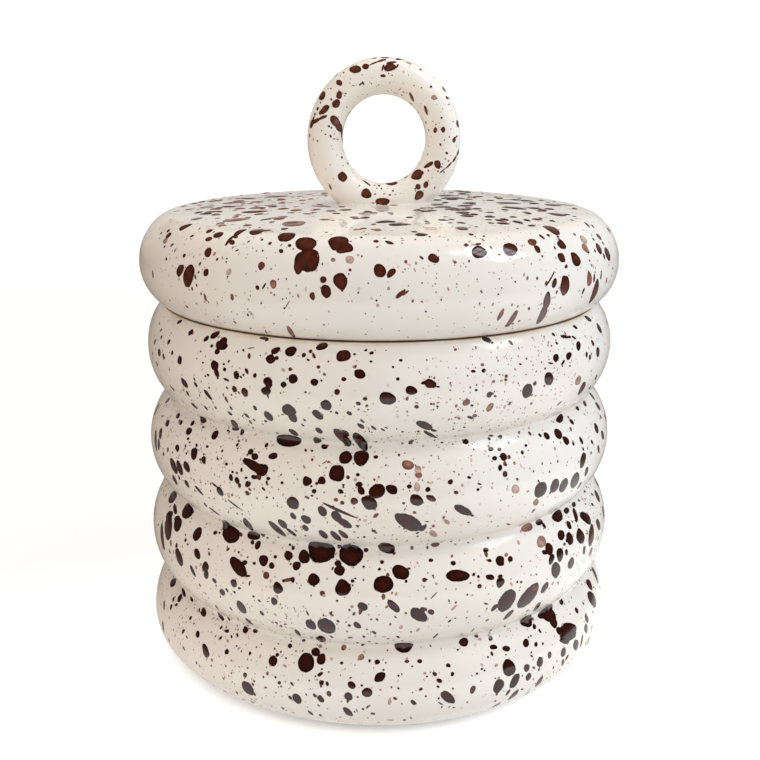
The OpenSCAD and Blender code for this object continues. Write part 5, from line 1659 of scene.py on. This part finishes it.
# %% Mist of fine specks
MIST, FLECK, LARGE_FLECK = (0.47 * MM, 0.3), (0.88 * MM, 0.25), (1.2 * MM, 0.2)
POT_MIST = ((5600, MIST),)
POT_FLECKS = ((1500, FLECK), (240, LARGE_FLECK))
LID_MIST = ((1800, MIST), (340, FLECK))
MIST_DEPTH, MIST_GHOST_SHARE = 0.55, 0.45
MIST_LOW = 3 * MM
rng = np.random.default_rng(41)


def mist_piece(name, body, outline, patch, stretch_at, high, counts):
    """A piece of specks all round a turned form, many of them pale: so many of each size and spread."""
    batches = []
    for count, (size, spread) in counts:
        centre = scattered(count, outline, MIST_LOW, high, False, rng)
        batches.append(
            random_drops("fine", centre, patch, stretch_at, size, spread, MIST_DEPTH, rng, MIST_GHOST_SHARE)
        )
    return splatter_piece(name, body, batches)


print(f"{sum(count for count, _ in POT_MIST + POT_FLECKS + LID_MIST)} specks to come")

# %% [markdown]
# Pot, lid and ring each get one piece of drops, and pot and lid a mist as well. One row of random numbers
# from a fixed seed feeds them all, so every run makes the same jar.

# %% Splatter of the pot
POT_DEPTH = 1.0
POT_HIDDEN = (170, 480, 300)
POT_FROM, POT_SHORT = 10 * MM, 5 * MM
pot_top = walk(pot_outside)[-1]
mist_top = pot_top - MIST_LOW
pot_drops = TOP_BULGE_DROPS + SECOND_BULGE_DROPS + THIRD_BULGE_DROPS + LOW_BULGE_DROPS
pot_batches = placed_drops(pot_drops, pot_sight, pot_patch, pot_stretch, POT_DEPTH, rng)
pot_batches += hidden_drops(
    pot_outside, pot_patch, pot_stretch, POT_FROM, pot_top - POT_SHORT, POT_HIDDEN, POT_DEPTH, rng
)
pot_splatter = splatter_piece("pot_splatter", "pot", pot_batches)
pot_mist = mist_piece("pot_mist", "pot", pot_outside, pot_patch, pot_stretch, mist_top, POT_MIST)
pot_flecks = mist_piece("pot_flecks", "pot", pot_outside, pot_patch, pot_stretch, mist_top, POT_FLECKS)

# %% Splatter of the lid
LID_DEPTH, CROWN_DEPTH = 0.74, 0.85
CROWN_EXTRA, CROWN_PALE = 230, 0.4
CROWN_SIZES = (2.4 * MM, 0.4)
LID_HIDDEN = (80, 260, 200)
LID_FROM, LID_SHORT, LID_MIST_SHORT = 6 * MM, 40 * MM, 34 * MM
PAD_CLEAR = 0.8
lid_top = walk(lid_outside)[-1]
lid_batches = placed_drops(LID_DROPS, lid_sight, lid_patch, lid_stretch, LID_DEPTH, rng)
lid_batches += placed_drops(CROWN_DROPS, lid_sight, lid_patch, lid_stretch, CROWN_DEPTH, rng, LEVEL_DOME)
crown_at_run = (lid_top - crown_edge[0], lid_top - PAD_CLEAR * PAD_R)
extra = scattered(CROWN_EXTRA, lid_outside, *crown_at_run, False, rng)
on_right = np.cos(extra[:, 0]) > 0
for half, depth in ((on_right, CROWN_DEPTH), (~on_right, CROWN_PALE)):
    lid_batches.append(
        random_drops("round", extra[half], lid_patch, lid_stretch, *CROWN_SIZES, depth, rng, dome=LEVEL_DOME)
    )
lid_batches += hidden_drops(
    lid_outside, lid_patch, lid_stretch, LID_FROM, lid_top - LID_SHORT, LID_HIDDEN, LID_DEPTH, rng
)
lid_splatter = splatter_piece("lid_splatter", "lid", lid_batches)
mist_top = lid_top - LID_MIST_SHORT
lid_mist = mist_piece("lid_mist", "lid", lid_outside, lid_patch, lid_stretch, mist_top, LID_MIST)

# %% Splatter of the ring
RING_TRIES = 700
RING_DEPTH, RING_SPREAD = 0.62, 0.3
RING_FLICKS = (("broad", slice(0, 60), 3.0 * MM), ("round", slice(60, 260), 1.4 * MM))
RING_MIST, RING_SPECK = slice(260, RING_TRIES), 0.42 * MM
FOOT_CLEAR = 4 * MM
BEHIND = 0.1
ring_batches = placed_drops(RING_DROPS, ring_sight, ring_surface, ring_stretch, RING_DEPTH, rng)
anywhere = rng.uniform(-np.pi, np.pi, (RING_TRIES, 2))
clear = ring_surface(anywhere[:, 0], anywhere[:, 1])[:, 2] > crown_z + FOOT_CLEAR
behind = np.sin(anywhere[:, 1]) > BEHIND
shape = (ring_surface, ring_stretch)
for grid, take, size in RING_FLICKS:
    centre = anywhere[take][(clear & behind)[take]]
    ring_batches.append(random_drops(grid, centre, *shape, size, RING_SPREAD, RING_DEPTH, rng))
centre = anywhere[RING_MIST][clear[RING_MIST]]
ring_batches.append(random_drops("fine", centre, *shape, RING_SPECK, RING_SPREAD, RING_DEPTH, rng))
ring_splatter = splatter_piece("ring_splatter", "lid", ring_batches)

# %% [markdown]
# The splatter is the same kind of glassy glaze as the cream, coloured by iron. Its base colour is what the
# drops carry per point, made a little cloudy, and its surface shares the ripple and the pinholes.

# %% Splatter material
CLOUD_SCALE = 420.0
CLOUD_LOW, CLOUD_HIGH = 0.65, 1.3
SPLATTER_RIPPLE = 0.7
SPLATTER_BUMP = (0.2, 0.25 * MM)
splatter, tree, shader, place = finish_material("splatter_glaze")
tint = node(tree, "ShaderNodeAttribute", attribute_name="drop_colour")
cloud = ranged(tree, noise(tree, place, CLOUD_SCALE, 3.0), 0.3, 0.75, CLOUD_LOW, CLOUD_HIGH)
brown = node(tree, "ShaderNodeVectorMath", operation="SCALE")
socket_links(tree, (tint.outputs["Color"], brown.inputs[0]), (cloud, brown.inputs["Scale"]))
tree.links.new(brown.outputs[0], shader.inputs["Base Color"])
surface = use_group(tree, ripple, place, Depth=SPLATTER_RIPPLE)
tree.links.new(surface.outputs["Roughness"], shader.inputs["Roughness"])
bumped(tree, surface.outputs["Height"], shader, *SPLATTER_BUMP)
for piece in (pot_splatter, pot_mist, pot_flecks, lid_splatter, lid_mist, ring_splatter):
    piece.data.materials.append(splatter)
print(f"{splatter.name}: {len(tree.nodes)} nodes")
